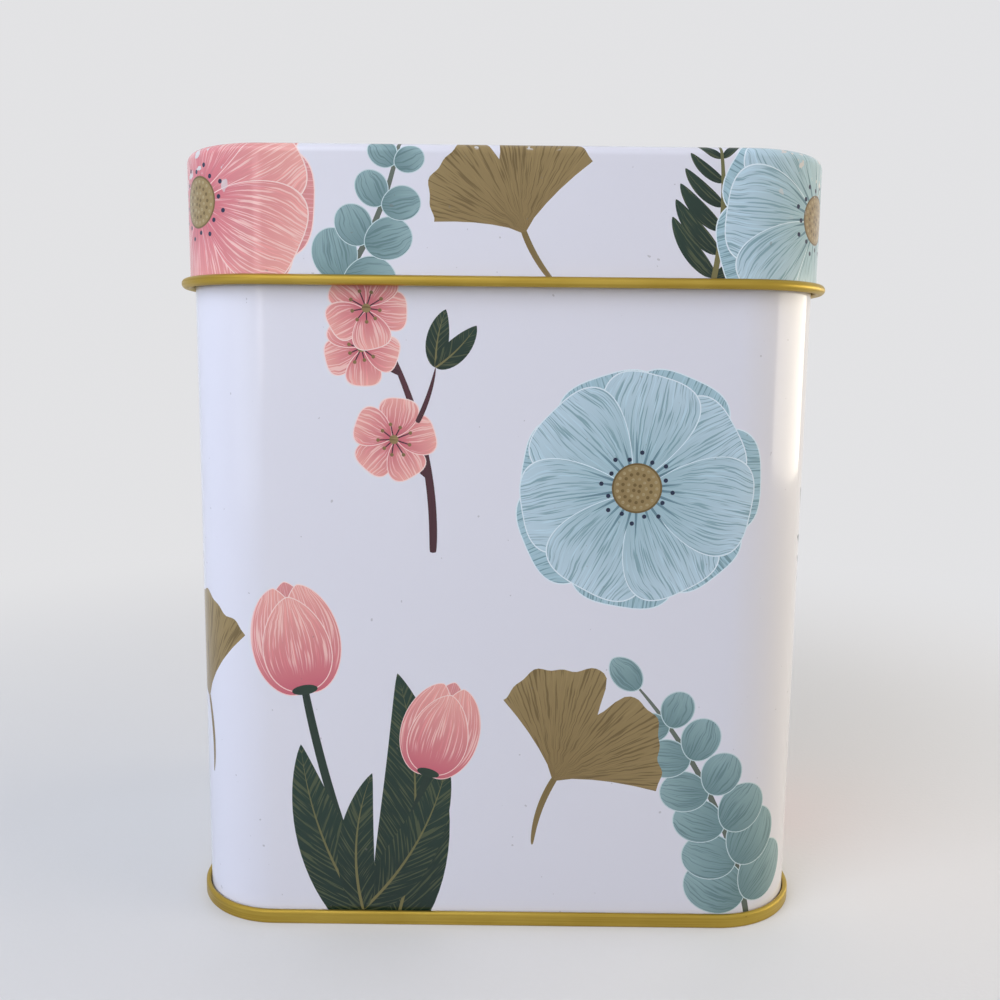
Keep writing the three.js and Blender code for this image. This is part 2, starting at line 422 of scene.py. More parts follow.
def disc(centre: Point, radius: float, ink: Ink) -> Blade:
    """A round dot."""
    return Blade((centre[0] - radius, centre[1]), 0.0, 2 * radius, 2 * radius, ink, swell=0.5, taper=0.5)


def stalk(foot: Point, heading: float, length: float, width: float, ink: Ink, **shape: float) -> Blade:
    """A thin stem, blunt at its foot and drawn out at its tip unless its shape says otherwise."""
    return Blade(foot, heading, length, width, ink, **{"swell": 0.1, "taper": 0.4, **shape})


def veined(leaf: Blade, width: float) -> list[Blade]:
    """A leaf with its midrib over it, which its herringbone strokes meet."""
    reach = 0.97
    shape = {"taper": 0.9, "bend": leaf.bend * reach}
    return [leaf, stalk(leaf.foot, leaf.heading, leaf.length * reach, width, GREEN_VEIN, **shape)]


@dataclass(frozen=True)
class Tulip(Motif):
    """A cup of petals on a stem, with long leaves that rise beside it.

    Args:
        stem: length of the stem below the cup.
        cup: height of the cup.
        leaves: how many leaves there are, 0 to 2.
        sway: how far the stem bends, in radians.
        leaf: length of the longer leaf.
        petals: lean, length, width and inks of each petal, its sizes as shares of the cup.
    """

    stem: float
    cup: float = 19.0
    leaves: int = 2
    sway: float = 0.25
    leaf: float = 42.0
    petals: tuple[tuple[float, float, float, Ink], ...] = (
        (0.0, 1.0, 0.5, PINK_BACK),
        (0.5, 0.93, 0.46, PINK_BACK),
        (-0.5, 0.93, 0.46, PINK_BACK),
        (0.44, 0.98, 0.54, PINK),
        (-0.44, 0.98, 0.54, PINK),
        (0.0, 0.86, 0.6, PINK),
    )

    def blades(self) -> list[Blade]:
        """The stem, the leaves and the cup, whose foot is the motif's middle."""
        ends = {"swell": 0.08, "taper": 0.08}
        stem = stalk((0.0, 0.8), -QUARTER, self.stem, 1.5, GREEN_STEM, bend=self.sway, **ends)
        out = [stem]
        for side in (1, -1)[: self.leaves]:
            length = self.leaf * (1 if side > 0 else 0.8)
            shape = (GREEN, 0.5, 0.85, side * 0.62, Weave.HERRINGBONE)
            leaf = Blade(stem.point(0.94), QUARTER - side * 0.52, length, length * 0.25, *shape)
            out += veined(leaf, 0.55)
        for lean, length, width, ink in self.petals:
            sizes = (self.cup * length, self.cup * width)
            petal = Blade((0.0, 0.0), QUARTER + lean, *sizes, ink, swell=0.46, taper=0.66, bend=-lean * 1.5)
            out += rimmed(petal, PINK_RIM, 0.16)
        collar = Blade((-2.2, 0.2), 0.0, 4.4, 1.7, GREEN_STEM, swell=0.5, taper=0.5)
        return out + [collar]


@dataclass(frozen=True)
class Ginkgo(Motif):
    """A gold fan leaf on a thin stalk.

    Args:
        reach: length of the fan.
        stalk: length of the stalk.
        sway: how far the stalk bends, in radians.
    """

    reach: float = 17.0
    stalk: float = 12.0
    sway: float = 0.5

    def blades(self) -> list[Blade]:
        """The stalk and the fan, whose foot is the motif's middle."""
        fan = Fan((0.0, 0.0), QUARTER, self.reach, self.reach * 1.6, GOLD)
        return [stalk((0.0, 0.6), -QUARTER, self.stalk, 0.95, GOLD_STEM, taper=0.35, bend=self.sway), fan]


@dataclass(frozen=True)
class Eucalyptus(Motif):
    """A bending stem with pairs of round leaves that grow smaller to its end.

    Args:
        length: length of the stem.
        pairs: how many pairs of leaves it has.
        sway: how far it bends, in radians.
        leaf: length of the largest leaf.
        seed: seed of the leaves' small differences.
    """

    length: float = 46.0
    pairs: int = 6
    sway: float = 0.6
    leaf: float = 9.5
    seed: int = 3

    def blades(self) -> list[Blade]:
        """The stem, whose foot is the motif's middle, and its leaves."""
        chance = random.Random(self.seed)
        stem = stalk((0.0, 0.0), QUARTER, self.length, 0.95, TEAL_STEM, bend=self.sway)
        out: list[Blade] = [stem]
        for pair in range(self.pairs):
            share = 0.16 + 0.78 * pair / self.pairs
            size = self.leaf * (1 - 0.52 * pair / self.pairs)
            for side in (1, -1):
                angle = stem.direction(share) + side * chance.uniform(0.95, 1.2)
                length = size * chance.uniform(0.9, 1.06)
                shape = {"swell": 0.55, "taper": 0.5, "bend": -side * 0.3}
                leaf = Blade(stem.point(share), angle, length, length * 0.86, TEAL, **shape)
                out += rimmed(leaf, TEAL_RIM, 0.14)
        sizes = (self.leaf * 0.6, self.leaf * 0.42)
        tip = Blade(stem.point(0.97), stem.direction(1.0), *sizes, TEAL, swell=0.55, taper=0.6)
        return out + rimmed(tip, TEAL_RIM, 0.14)


@dataclass(frozen=True)
class BlossomTwig(Motif):
    """A plum twig with five-petalled blossoms and a few small leaves.

    Args:
        length: length of the twig.
        blossom: radius of the largest blossom.
        sway: how far the twig bends, in radians.
        seed: seed of the blossoms' small differences.
        side_twigs: place, side and length of each side twig.
        petals: how many petals a blossom has.
        stamens: how many stamens a blossom has.
    """

    length: float = 44.0
    blossom: float = 6.4
    sway: float = -0.7
    seed: int = 5
    side_twigs: tuple[tuple[float, int, float], ...] = ((0.3, 1, 8.5), (0.52, -1, 9.5), (0.72, 1, 7.5))
    petals: int = 5
    stamens: int = 9

    def blades(self) -> list[Blade]:
        """The twig, whose foot is the motif's middle, with its blossoms and leaves."""
        chance = random.Random(self.seed)
        twig = stalk((0.0, 0.0), QUARTER, self.length, 1.35, PLUM, taper=0.5, bend=self.sway)
        out: list[Blade] = [twig]
        for place, side, reach in self.side_twigs:
            angle = twig.direction(place) + side * 0.75
            branch = stalk(twig.point(place), angle, reach, 0.85, PLUM, taper=0.5, bend=-side * 0.3)
            out.append(branch)
            if side > 0:
                out += self.blossom_at(branch.point(1.0), self.blossom * (1.05 - 0.25 * place), chance)
            else:
                out += self.leaves_at(branch.point(1.0), angle)
        return out + self.blossom_at(twig.point(1.0), self.blossom * 0.94, chance)

    def leaves_at(self, end: Point, angle: float) -> list[Blade]:
        """A pair of small leaves at the end of a side twig."""
        pair = []
        for side in (1, -1):
            shape = (GREEN, 0.6, 0.8, -side * 0.4, Weave.HERRINGBONE)
            pair += veined(Blade(end, angle + side * 0.5, 9.5, 3.7, *shape), 0.3)
        return pair

    def blossom_at(self, centre: Point, reach: float, chance: random.Random) -> list[Blade]:
        """One blossom with its stamens.

        Args:
            centre: its middle.
            reach: its radius.
            chance: where its small differences are drawn from.

        Returns:
            Its blades, the lowest first.
        """
        first = chance.uniform(0, TURN)
        out: list[Blade] = []
        for number in range(self.petals):
            angle = first + TURN * number / self.petals
            shape = {"swell": 0.75, "taper": 0.34, "bend": chance.uniform(-0.2, 0.2)}
            petal = Blade(polar(0.5, angle, centre), angle, reach, reach * 1.02, PINK, **shape)
            out += rimmed(petal, PINK_RIM, 0.16)
        for number in range(self.stamens):
            angle = first + TURN * number / self.stamens
            length = reach * chance.uniform(0.34, 0.48)
            out.append(stalk(centre, angle, length, 0.22, PLUM, taper=0.1))
            out.append(disc(polar(length, angle, centre), 0.3, GOLD_STEM))
        return out + [disc(centre, reach * 0.12, GOLD)]


@dataclass(frozen=True)
class BerrySpray(Motif):
    """A gold spray: thin stems that fork again and again, each with a round berry at its end.

    Args:
        length: length of the middle stem.
        forks: how many side stems it has.
        berry: radius of the largest berry.
        sway: how far the middle stem bends, in radians.
        seed: seed of the stems' small differences.
        long_stem: length from which a stem counts as the middle one.
    """

    length: float = 40.0
    forks: int = 7
    berry: float = 2.3
    sway: float = 0.35
    seed: int = 7
    long_stem: float = 20.0

    def blades(self) -> list[Blade]:
        """The stems, the middle one's foot in the motif's middle, and their berries."""
        chance = random.Random(self.seed)
        stem = stalk((0.0, 0.0), QUARTER, self.length, 0.95, GOLD_STEM, bend=self.sway)
        out: list[Blade] = [stem]
        for number in range(self.forks):
            share = 0.26 + 0.62 * number / (self.forks - 1)
            side = 1 if number % 2 else -1
            heading = stem.direction(share) + side * chance.uniform(0.55, 0.75)
            reach = self.length * (0.42 - 0.3 * share) * chance.uniform(0.9, 1.1)
            fork = stalk(stem.point(share), heading, reach, 0.7, GOLD_STEM, bend=-side * 0.5)
            out.append(fork)
            out += self.berries(fork, side, chance)
        return out + self.berries(stem, 1, chance)

    def berries(self, stem: Blade, side: int, chance: random.Random) -> list[Blade]:
        """A large berry at a stem's end and a smaller one on a short stalk beside it.

        Args:
            stem: the stem.
            side: the side of the smaller berry.
            chance: where their small differences are drawn from.

        Returns:
            Their blades, the lowest first.
        """
        length = stem.length * 0.32 if stem.length < self.long_stem else 5.0
        short = stalk(stem.point(0.55), stem.direction(0.5) + side * 0.7, length, 0.6, GOLD_STEM)
        size = self.berry * chance.uniform(0.85, 1.0)
        out = [short]
        for (x, y), radius in ((stem.point(1.0), size), (short.point(1.0), size * 0.66)):
            out += [disc((x, y), radius, GOLD_PALE), disc((x, y), radius - 0.14, GOLD_DEEP)]
            out.append(disc((x - radius * 0.1, y + radius * 0.1), radius * 0.82, GOLD_PLAIN))
            out.append(disc((x - radius * 0.34, y + radius * 0.34), radius * 0.24, GOLD_PALE))
        return out


@dataclass(frozen=True)
class Fern(Motif):
    """A deep green frond: a bending stem with narrow leaflets that grow shorter to its tip.

    Args:
        length: length of the stem.
        width: width of the frond.
        sway: how far it bends, in radians.
        pairs: how many pairs of leaflets it has.
        span: share of the stem that the leaflets stand on.
        lean: how far they turn from the stem, in radians.
    """

    length: float = 46.0
    width: float = 30.0
    sway: float = 0.45
    pairs: int = 8
    span: float = 0.8
    lean: float = 1.05

    def blades(self) -> list[Blade]:
        """The leaflets and over them the stem, whose foot is the motif's middle."""
        stem = stalk((0.0, 0.0), QUARTER, self.length, 1.0, GREEN_VEIN, taper=0.5, bend=self.sway)
        gap = self.span * self.length / self.pairs
        out: list[Blade] = []
        for pair in range(self.pairs):
            share = 0.14 + self.span * pair / self.pairs
            length = self.width / 2 * (1 - 0.72 * (pair / self.pairs) ** 1.4) / math.sin(self.lean)
            for side in (1, -1):
                angle = stem.direction(share) + side * self.lean
                shape = (length, min(length * 0.26, gap * 0.78), GREEN, 0.5, 0.7, -side * 0.45)
                out.append(Blade(stem.point(share), angle, *shape))
        out.append(Blade(stem.point(0.9), stem.direction(1.0), 7.5, 2.6, GREEN, swell=0.55, taper=0.8))
        return out + [stem]


@dataclass(frozen=True)
class Placement:
    """Where a motif is printed.

    Args:
        motif: what is printed.
        u: place along the girth from the middle of the front, growing to the viewer's right,
            or the x of the blank.
        v: height on the wall, or the y of the blank.
        turn: how far it is turned from upright, in degrees.
        scale: its size against its own.
        chart: what u and v are measured in.
    """

    motif: Motif
    u: float
    v: float
    turn: float = 0.0
    scale: float = 1.0
    chart: Chart = Chart.GIRTH

    def place(self, points: Array) -> Array:
        """Take points of the motif to the chart."""
        turned = points @ turn_matrix(math.radians(self.turn)).T
        return turned * self.scale + np.array([self.u, self.v])

    def unplace(self, points: Array) -> Array:
        """Take points of the chart back to the motif."""
        back = (points - np.array([self.u, self.v])) / self.scale
        return back @ turn_matrix(math.radians(self.turn))


@dataclass(frozen=True)
class PlanOutline:
    """The box seen from above: a rounded rectangle at the outer face of the body's wall.

    A place on it is its way u along the girth from the middle of the front, positive to the
    viewer's right, and it is cut at the middle of the back.

    Args:
        half_width: half of the width.
        half_depth: half of the depth.
        corner: radius of the corners.
        corner_steps: steps in which a corner is made.
        flat_step: about how long a step is on the flats.
    """

    half_width: float = 66.5
    half_depth: float = 48.5
    corner: float = 18.4
    corner_steps: int = 20
    flat_step: float = 3.0

    @property
    def flat(self) -> Array:
        """Half sizes of the rectangle that the corners' centres stand on."""
        return np.array([self.half_width - self.corner, self.half_depth - self.corner])

    def stations(self) -> Array:
        """Find where the flats and corners of the right-hand half end.

        Returns:
            Their places on the girth, from the middle of the front to the middle of the back.
        """
        flat_x, flat_y = self.flat
        quarter = QUARTER * self.corner
        return np.cumsum([0, flat_x, quarter, 2 * flat_y, quarter, flat_x])

    @property
    def end(self) -> float:
        """Half of the girth: the place of the cut at the middle of the back."""
        return float(self.stations()[-1])

    def frame(self, girth: Array) -> tuple[Array, Array]:
        """Where places on the girth stand.

        Args:
            girth: the places u.

        Returns:
            The points that the outline is a corner radius away from, and its outward normals.
        """
        flat_x, flat_y = self.flat
        way, sign = np.abs(girth), np.sign(girth)
        marks = self.stations()
        angle = np.interp(way, marks, [-QUARTER, -QUARTER, 0, 0, QUARTER, QUARTER])
        core_x = np.interp(way, marks, [0, flat_x, flat_x, flat_x, flat_x, 0]) * sign
        core_y = np.interp(way, marks, [-flat_y, -flat_y, -flat_y, flat_y, flat_y, flat_y])
        normal = np.stack([np.cos(angle) * sign, np.sin(angle)], -1)
        return np.stack([core_x, core_y], -1), normal

    def unroll(self, points: Array) -> tuple[Array, Array, Array, Array]:
        """Find where points of the plan lie against the outline.

        Args:
            points: points of the plan.

        Returns:
            Their core points, outward normals, distances from the core and places on the girth.
        """
        flat_x, flat_y = self.flat
        core = np.clip(points, [-flat_x, -flat_y], [flat_x, flat_y])
        away = points - core
        reach = np.linalg.norm(away, axis=1)
        normal = away / np.maximum(reach, 1e-9)[:, None]
        angle = np.arctan2(away[:, 1], np.abs(away[:, 0]))
        wide = np.abs(points[:, 0])
        way = flat_x + self.corner * (angle + QUARTER) + core[:, 1] + flat_y
        way = np.where((wide <= flat_x) & (away[:, 1] <= 0), wide, way)
        way = np.where((wide <= flat_x) & (away[:, 1] > 0), self.end - wide, way)
        return core, normal, reach, way * np.where(points[:, 0] < 0, -1, 1)

    def columns(self, extra: tuple[float, ...] = ()) -> Array:
        """Places on the girth where a mesh has its columns, from the back cut round to it again.

        Args:
            extra: further places on the right-hand half.

        Returns:
            The places, growing.
        """
        marks = self.stations()
        half: list[float] = []
        for number in range(5):
            length = marks[number + 1] - marks[number]
            steps = self.corner_steps if number in (1, 3) else round(length / self.flat_step)
            half += list(np.linspace(marks[number], marks[number + 1], steps, endpoint=False))
        half.append(float(marks[-1]))
        left = -np.array(half[::-1])[:-1]
        return np.concatenate([left, sorted(half + list(extra))])


@dataclass(frozen=True)
class Run:
    """A straight or round length of a sheet's section, at an offset from the body's outer face.

    Args:
        start: offset and height of its first end, or of its centre where it is round.
        end: offset and height of its other end, where it is straight.
        radius: its radius, or 0 where it is straight.
        angles: its first and last direction from the centre, in degrees.
        steps: steps in which it is made.
    """

    start: Point
    end: Point = (0.0, 0.0)
    radius: float = 0.0
    angles: Span = (0.0, 0.0)
    steps: int = 1

    @property
    def length(self) -> float:
        """Length along the section."""
        if self.radius:
            return self.radius * math.radians(abs(self.angles[1] - self.angles[0]))
        return math.dist(self.start, self.end)

    def at(self, share: Array) -> tuple[Array, Array]:
        """Points and directions along the run.

        Args:
            share: shares of its length.

        Returns:
            Offset and height of each point, and the direction there.
        """
        if self.radius:
            turn = math.radians(self.angles[1] - self.angles[0])
            angle = math.radians(self.angles[0]) + turn * share
            spoke = np.stack([np.cos(angle), np.sin(angle)], -1)
            ahead = np.stack([-spoke[:, 1], spoke[:, 0]], -1) * math.copysign(1, turn)
            return np.array(self.start) + self.radius * spoke, ahead
        way = np.array(self.end) - np.array(self.start)
        ahead = np.tile(way / np.linalg.norm(way), (len(share), 1))
        return np.array(self.start) + way * share[:, None], ahead


@dataclass(frozen=True)
class SheetLine:
    """The middle of a sheet's thickness in section, as runs end to end.

    Args:
        runs: the runs in order.
        printed: 1 where the printed side is on the right of the way along, or else -1.
        gauge: the sheet's thickness.
    """

    runs: tuple[Run, ...]
    printed: int = 1
    gauge: float = 0.28

    @property
    def marks(self) -> Array:
        """Lengths from the start at which the runs begin and end."""
        return np.cumsum([0.0] + [run.length for run in self.runs])

    def rows(self) -> Array:
        """Place a mesh's rows.

        Returns:
            Their lengths from the start.
        """
        rows: list[float] = []
        for begin, run in zip(self.marks, self.runs):
            rows += list(begin + np.linspace(0, run.length, run.steps, endpoint=False))
        return np.array(rows + [float(self.marks[-1])])

    def at(self, along: Array, side: int) -> tuple[Array, Array]:
        """Points and normals of a face's section.

        Args:
            along: lengths from the start.
            side: 1 for the printed face and -1 for the other.

        Returns:
            Offset and height of each point, and the normal that leaves the printed face there.
        """
        marks = self.marks
        number = np.clip(np.searchsorted(marks, along, side="right") - 1, 0, len(self.runs) - 1)
        points, ahead = np.zeros((len(along), 2)), np.zeros((len(along), 2))
        for index, run in enumerate(self.runs):
            here = number == index
            share = np.clip((along[here] - marks[index]) / run.length, 0, 1)
            points[here], ahead[here] = run.at(share)
        normal = np.stack([ahead[:, 1], -ahead[:, 0]], -1) * self.printed
        return points + normal * side * self.gauge / 2, normal


@dataclass
class Lattice:
    """The plain net of a sheet laid flat, before shapes are cut into it.

    Args:
        points: its points in the plane.
        border: indices of its border, counterclockwise.
        guides: edges that cuts may not smooth over.
    """

    points: Array
    border: list[int]
    guides: list[tuple[int, int]] = field(default_factory=list)

    def cut(self, shapes: list[Array]) -> Cut:
        """Cut shapes into the net.

        Args:
            shapes: outlines in the plane, the lowest first.

        Returns:
            The points, the triangles, and for each triangle the number of the shape on top of it,
            or 0 for the bare net.
        """
        points = [Vector(point) for point in self.points.tolist()]
        edges = list(self.guides)
        for shape in shapes:
            first, count = len(points), len(shape)
            edges += [(first + step, first + (step + 1) % count) for step in range(count)]
            points += [Vector(point) for point in shape.tolist()]
        found = delaunay_2d_cdt(points, edges, [self.border], 1, 1e-6, False)
        net, corners = np.array([point[:] for point in found[0]]), np.array(found[2])
        middle = net[corners].mean(axis=1)
        owner = np.zeros(len(corners), dtype=np.int64)
        for number, shape in enumerate(shapes, start=1):
            near = np.all((middle >= shape.min(axis=0)) & (middle <= shape.max(axis=0)), axis=1)
            near = np.flatnonzero(near)
            owner[near[enclosed(middle[near], shape)]] = number
        return net, corners, owner


def enclosed(points: Array, outline: Array) -> Array:
    """Tell which points an outline winds round.

    Args:
        points: the points.
        outline: the outline's points in order.

    Returns:
        True for each point inside.
    """
    start, end = outline, np.roll(outline, -1, axis=0)
    across, up = points[:, :1], points[:, 1:]
    edge = end - start
    side = edge[:, 0] * (up - start[:, 1]) - (across - start[:, 0]) * edge[:, 1]
    rising = (start[:, 1] <= up) & (end[:, 1] > up) & (side > 0)
    falling = (start[:, 1] > up) & (end[:, 1] <= up) & (side < 0)
    return rising.sum(axis=1) != falling.sum(axis=1)


def densified(outline: Array, step: float) -> Array:
    """Split an outline's long edges.

    Args:
        outline: its points in order.
        step: how long an edge may be.

    Returns:
        The outline with no longer edge.
    """
    out: list[Array] = []
    for start, end in zip(outline, np.roll(outline, -1, axis=0)):
        count = max(1, math.ceil(float(np.linalg.norm(end - start)) / step))
        out.append(start + (end - start) * (np.arange(count) / count)[:, None])
    return np.concatenate(out)


@dataclass
class TinSheet:
    """A printed sheet formed round the box, with its gold inner face and its raw edges.

    Args:
        plan: the box's plan.
        line: the sheet's section.
        print_heights: lowest and highest height that the print reaches on the wall.
        placements: the motifs on it, the lowest first.
        print_step: how long an edge of a printed shape may be.
        least_print: how wide a shape has to be on the sheet to be cut into it.
    """

    plan: PlanOutline
    line: SheetLine
    print_heights: Span
    placements: list[Placement]
    print_step: float = 1.5
    least_print: float = 0.01

    def lattice(self) -> Lattice:
        """Lay the sheet flat.

        Returns:
            Its plain net.
        """
        raise NotImplementedError

    def to_plane(self, points: Array, chart: Chart) -> Array:
        """Take points of a chart to the flat sheet, held within the print's reach.

        Args:
            points: points of the chart.
            chart: which chart it is.

        Returns:
            The points on the flat sheet.
        """
        raise NotImplementedError

    def to_chart(self, points: Array, chart: Chart) -> Array:
        """Take points of the flat sheet back to a chart.

        Args:
            points: points of the flat sheet.
            chart: which chart is meant.

        Returns:
            The points on the chart.
        """
        raise NotImplementedError

    def lift(self, points: Array, side: int) -> tuple[Array, Array]:
        """Form points of the flat sheet into the box.

        Args:
            points: points of the flat sheet.
            side: 1 for the printed face and -1 for the other.

        Returns:
            The points in space and the normals that leave the printed face there.
        """
        raise NotImplementedError

    def seams(self, points: Array) -> tuple[list[Array], Array]:
        """Name the raw edges of a face of the sheet.

        Args:
            points: points of the flat sheet.

        Returns:
            The raw edges, each as indices in order, and for each point the one that stands for it
            where the sheet's ends meet.
        """
        raise NotImplementedError

    def folds(self) -> tuple[Array, Faces]:
        """Points and four-cornered faces of what stands on the sheet's inner face."""
        return np.zeros((0, 3)), []

    def prints(self) -> tuple[list[Array], list[tuple[Placement, Blade]]]:
        """Lay the motifs out on the flat sheet.

        Returns:
            The outlines of their blades, and the placement and blade of each, the lowest first.
        """
        shapes, printed = [], []
        for place in self.placements:
            for blade in place.motif.blades():
                outline = densified(place.place(blade.outline()), self.print_step)
                shape = self.to_plane(outline, place.chart)
                if np.ptp(shape, axis=0).min() > self.least_print:
                    shapes.append(shape)
                    printed.append((place, blade))
        return shapes, printed

    def build(self, name: str, finishes: tuple[Material, ...]) -> Object:
        """Make the sheet's mesh with its print.

        Args:
            name: name of the piece.
            finishes: the materials of the printed face and of the other face.

        Returns:
            The piece.
        """
        net = self.lattice()
        shapes, printed = self.prints()
        outer, outer_faces, owner = net.cut(shapes)
        inner, inner_faces, _ = net.cut([])
        outer_space, outer_normal = self.lift(outer, 1)
        inner_space, inner_normal = self.lift(inner, -1)
        outer_edges, outer_same = self.seams(outer)
        inner_edges, inner_same = self.seams(inner)
        fold_space, fold_faces = self.folds()
        space = np.concatenate([outer_space, inner_space, fold_space]) * MM
        shift = len(outer)
        same = np.concatenate([outer_same, inner_same + shift])
        rims = []
        for outside, inside in zip(outer_edges, inner_edges):
            inside = inside + shift
            rims += [(a, b, d, c) for a, b, c, d in zip(outside[1:], outside, inside[1:], inside)]
        faces = same[outer_faces].tolist() + same[inner_faces + shift][:, ::-1].tolist()
        faces += [same[list(rim)].tolist() for rim in rims]
        first = len(outer) + len(inner)
        faces += [[first + corner for corner in face] for face in fold_faces]
        mesh = bpy.data.meshes.new(name)
        mesh.from_pydata(space.tolist(), [], faces)
        for finish in finishes:
            mesh.materials.append(finish)
        slot = np.ones(len(faces), dtype=np.int32)
        slot[: len(outer_faces)] = 0
        mesh.polygons.foreach_set("material_index", slot)
        self.paint(mesh, (outer, outer_faces, owner), printed)
        self.shade(mesh, outer_normal[outer_faces], inner_normal[inner_faces[:, ::-1]])
        return linked(clean(mesh))

    def shade(self, mesh: Mesh, outside: Array, inside: Array) -> None:
        """Give the faces the formed sheet's own normals, and the raw edges flat ones.

        Args:
            mesh: the sheet's mesh.
            outside: the normals at the corners of the printed triangles.
            inside: those of the inner triangles, which face the same way.
        """
        mesh.polygons.foreach_set("use_smooth", np.ones(len(mesh.polygons), dtype=bool))
        flat = np.zeros((len(mesh.polygons), 3))
        mesh.polygons.foreach_get("normal", flat.ravel())
        formed = np.concatenate([outside, -inside])
        count = len(formed)
        sharp = np.einsum("ij,ij->i", formed[:, 0], flat[:count]) < 0.5
        formed[sharp] = flat[:count][sharp][:, None]
        corners = np.concatenate([formed.reshape(-1, 3), np.repeat(flat[count:], 4, axis=0)])
        mesh.normals_split_custom_set(corners.tolist())

    def paint(self, mesh: Mesh, cut: Cut, printed: list[tuple[Placement, Blade]]) -> None:
        """Write the inks and brush work of the print onto the mesh.

        Args:
            mesh: the sheet's mesh, whose first faces are the printed ones.
            cut: the printed face, cut on the flat sheet.
            printed: the shapes' placements and blades, the lowest first.
        """
        points, faces, owner = cut
        ink = np.ones((len(mesh.loops), 4))
        ink[:, :3] = linear(GROUND.foot)
        hair = np.zeros((len(mesh.loops), 4))
        brush = np.zeros((len(mesh.loops), 2))
        order = np.argsort(owner, kind="stable")
        starts = np.searchsorted(owner[order], np.arange(len(printed) + 2))
        for number, (place, blade) in enumerate(printed, start=1):
            mine = order[starts[number] : starts[number + 1]]
            if not len(mine):
                continue
            chart = self.to_chart(points[faces[mine]].reshape(-1, 2), place.chart)
            work = blade.strokes(place.unplace(chart))
            loops = (mine[:, None] * 3 + np.arange(3)).ravel()
            share = work[:, 2:3]
            foot, tip = np.array(linear(blade.ink.foot)), np.array(linear(blade.ink.tip))
            ink[loops, :3] = foot + (tip - foot) * share
            hair[loops, :3] = linear(blade.ink.hair)
            fade = np.clip((share[:, 0] - blade.ink.bare) / 0.15, 0, 1) if blade.ink.bare else 1.0
            hair[loops, 3] = blade.ink.strokes * fade
            brush[loops] = work[:, :2] * place.scale + np.array([17.3, 5.9]) * (number % 97)
        for layer, values in (("ink", ink), ("hair", hair)):
            colours = mesh.color_attributes.new(layer, "FLOAT_COLOR", "CORNER")
            colours.data.foreach_set("color", values.ravel())
        layer = mesh.uv_layers.new(name="brush")
        layer.data.foreach_set("uv", (brush / BRUSH_MAP).ravel())


def clean(mesh: Mesh) -> Mesh:
    """Check a mesh and settle its edges.

    Args:
        mesh: the mesh, which is changed where it has faults.

    Returns:
        The same mesh.
    """
    mesh.update()
    if mesh.validate(clean_customdata=False):
        LOG.warning("%s had faults that were mended", mesh.name)
    return mesh


def linked(data: bpy.types.ID) -> Object:
    """Put a mesh, curve, lamp or camera into the scene at the origin.

    Args:
        data: what is put there.

    Returns:
        Its object, under the same name.
    """
    piece = bpy.data.objects.new(data.name, data)
    bpy.context.scene.collection.objects.link(piece)
    return piece


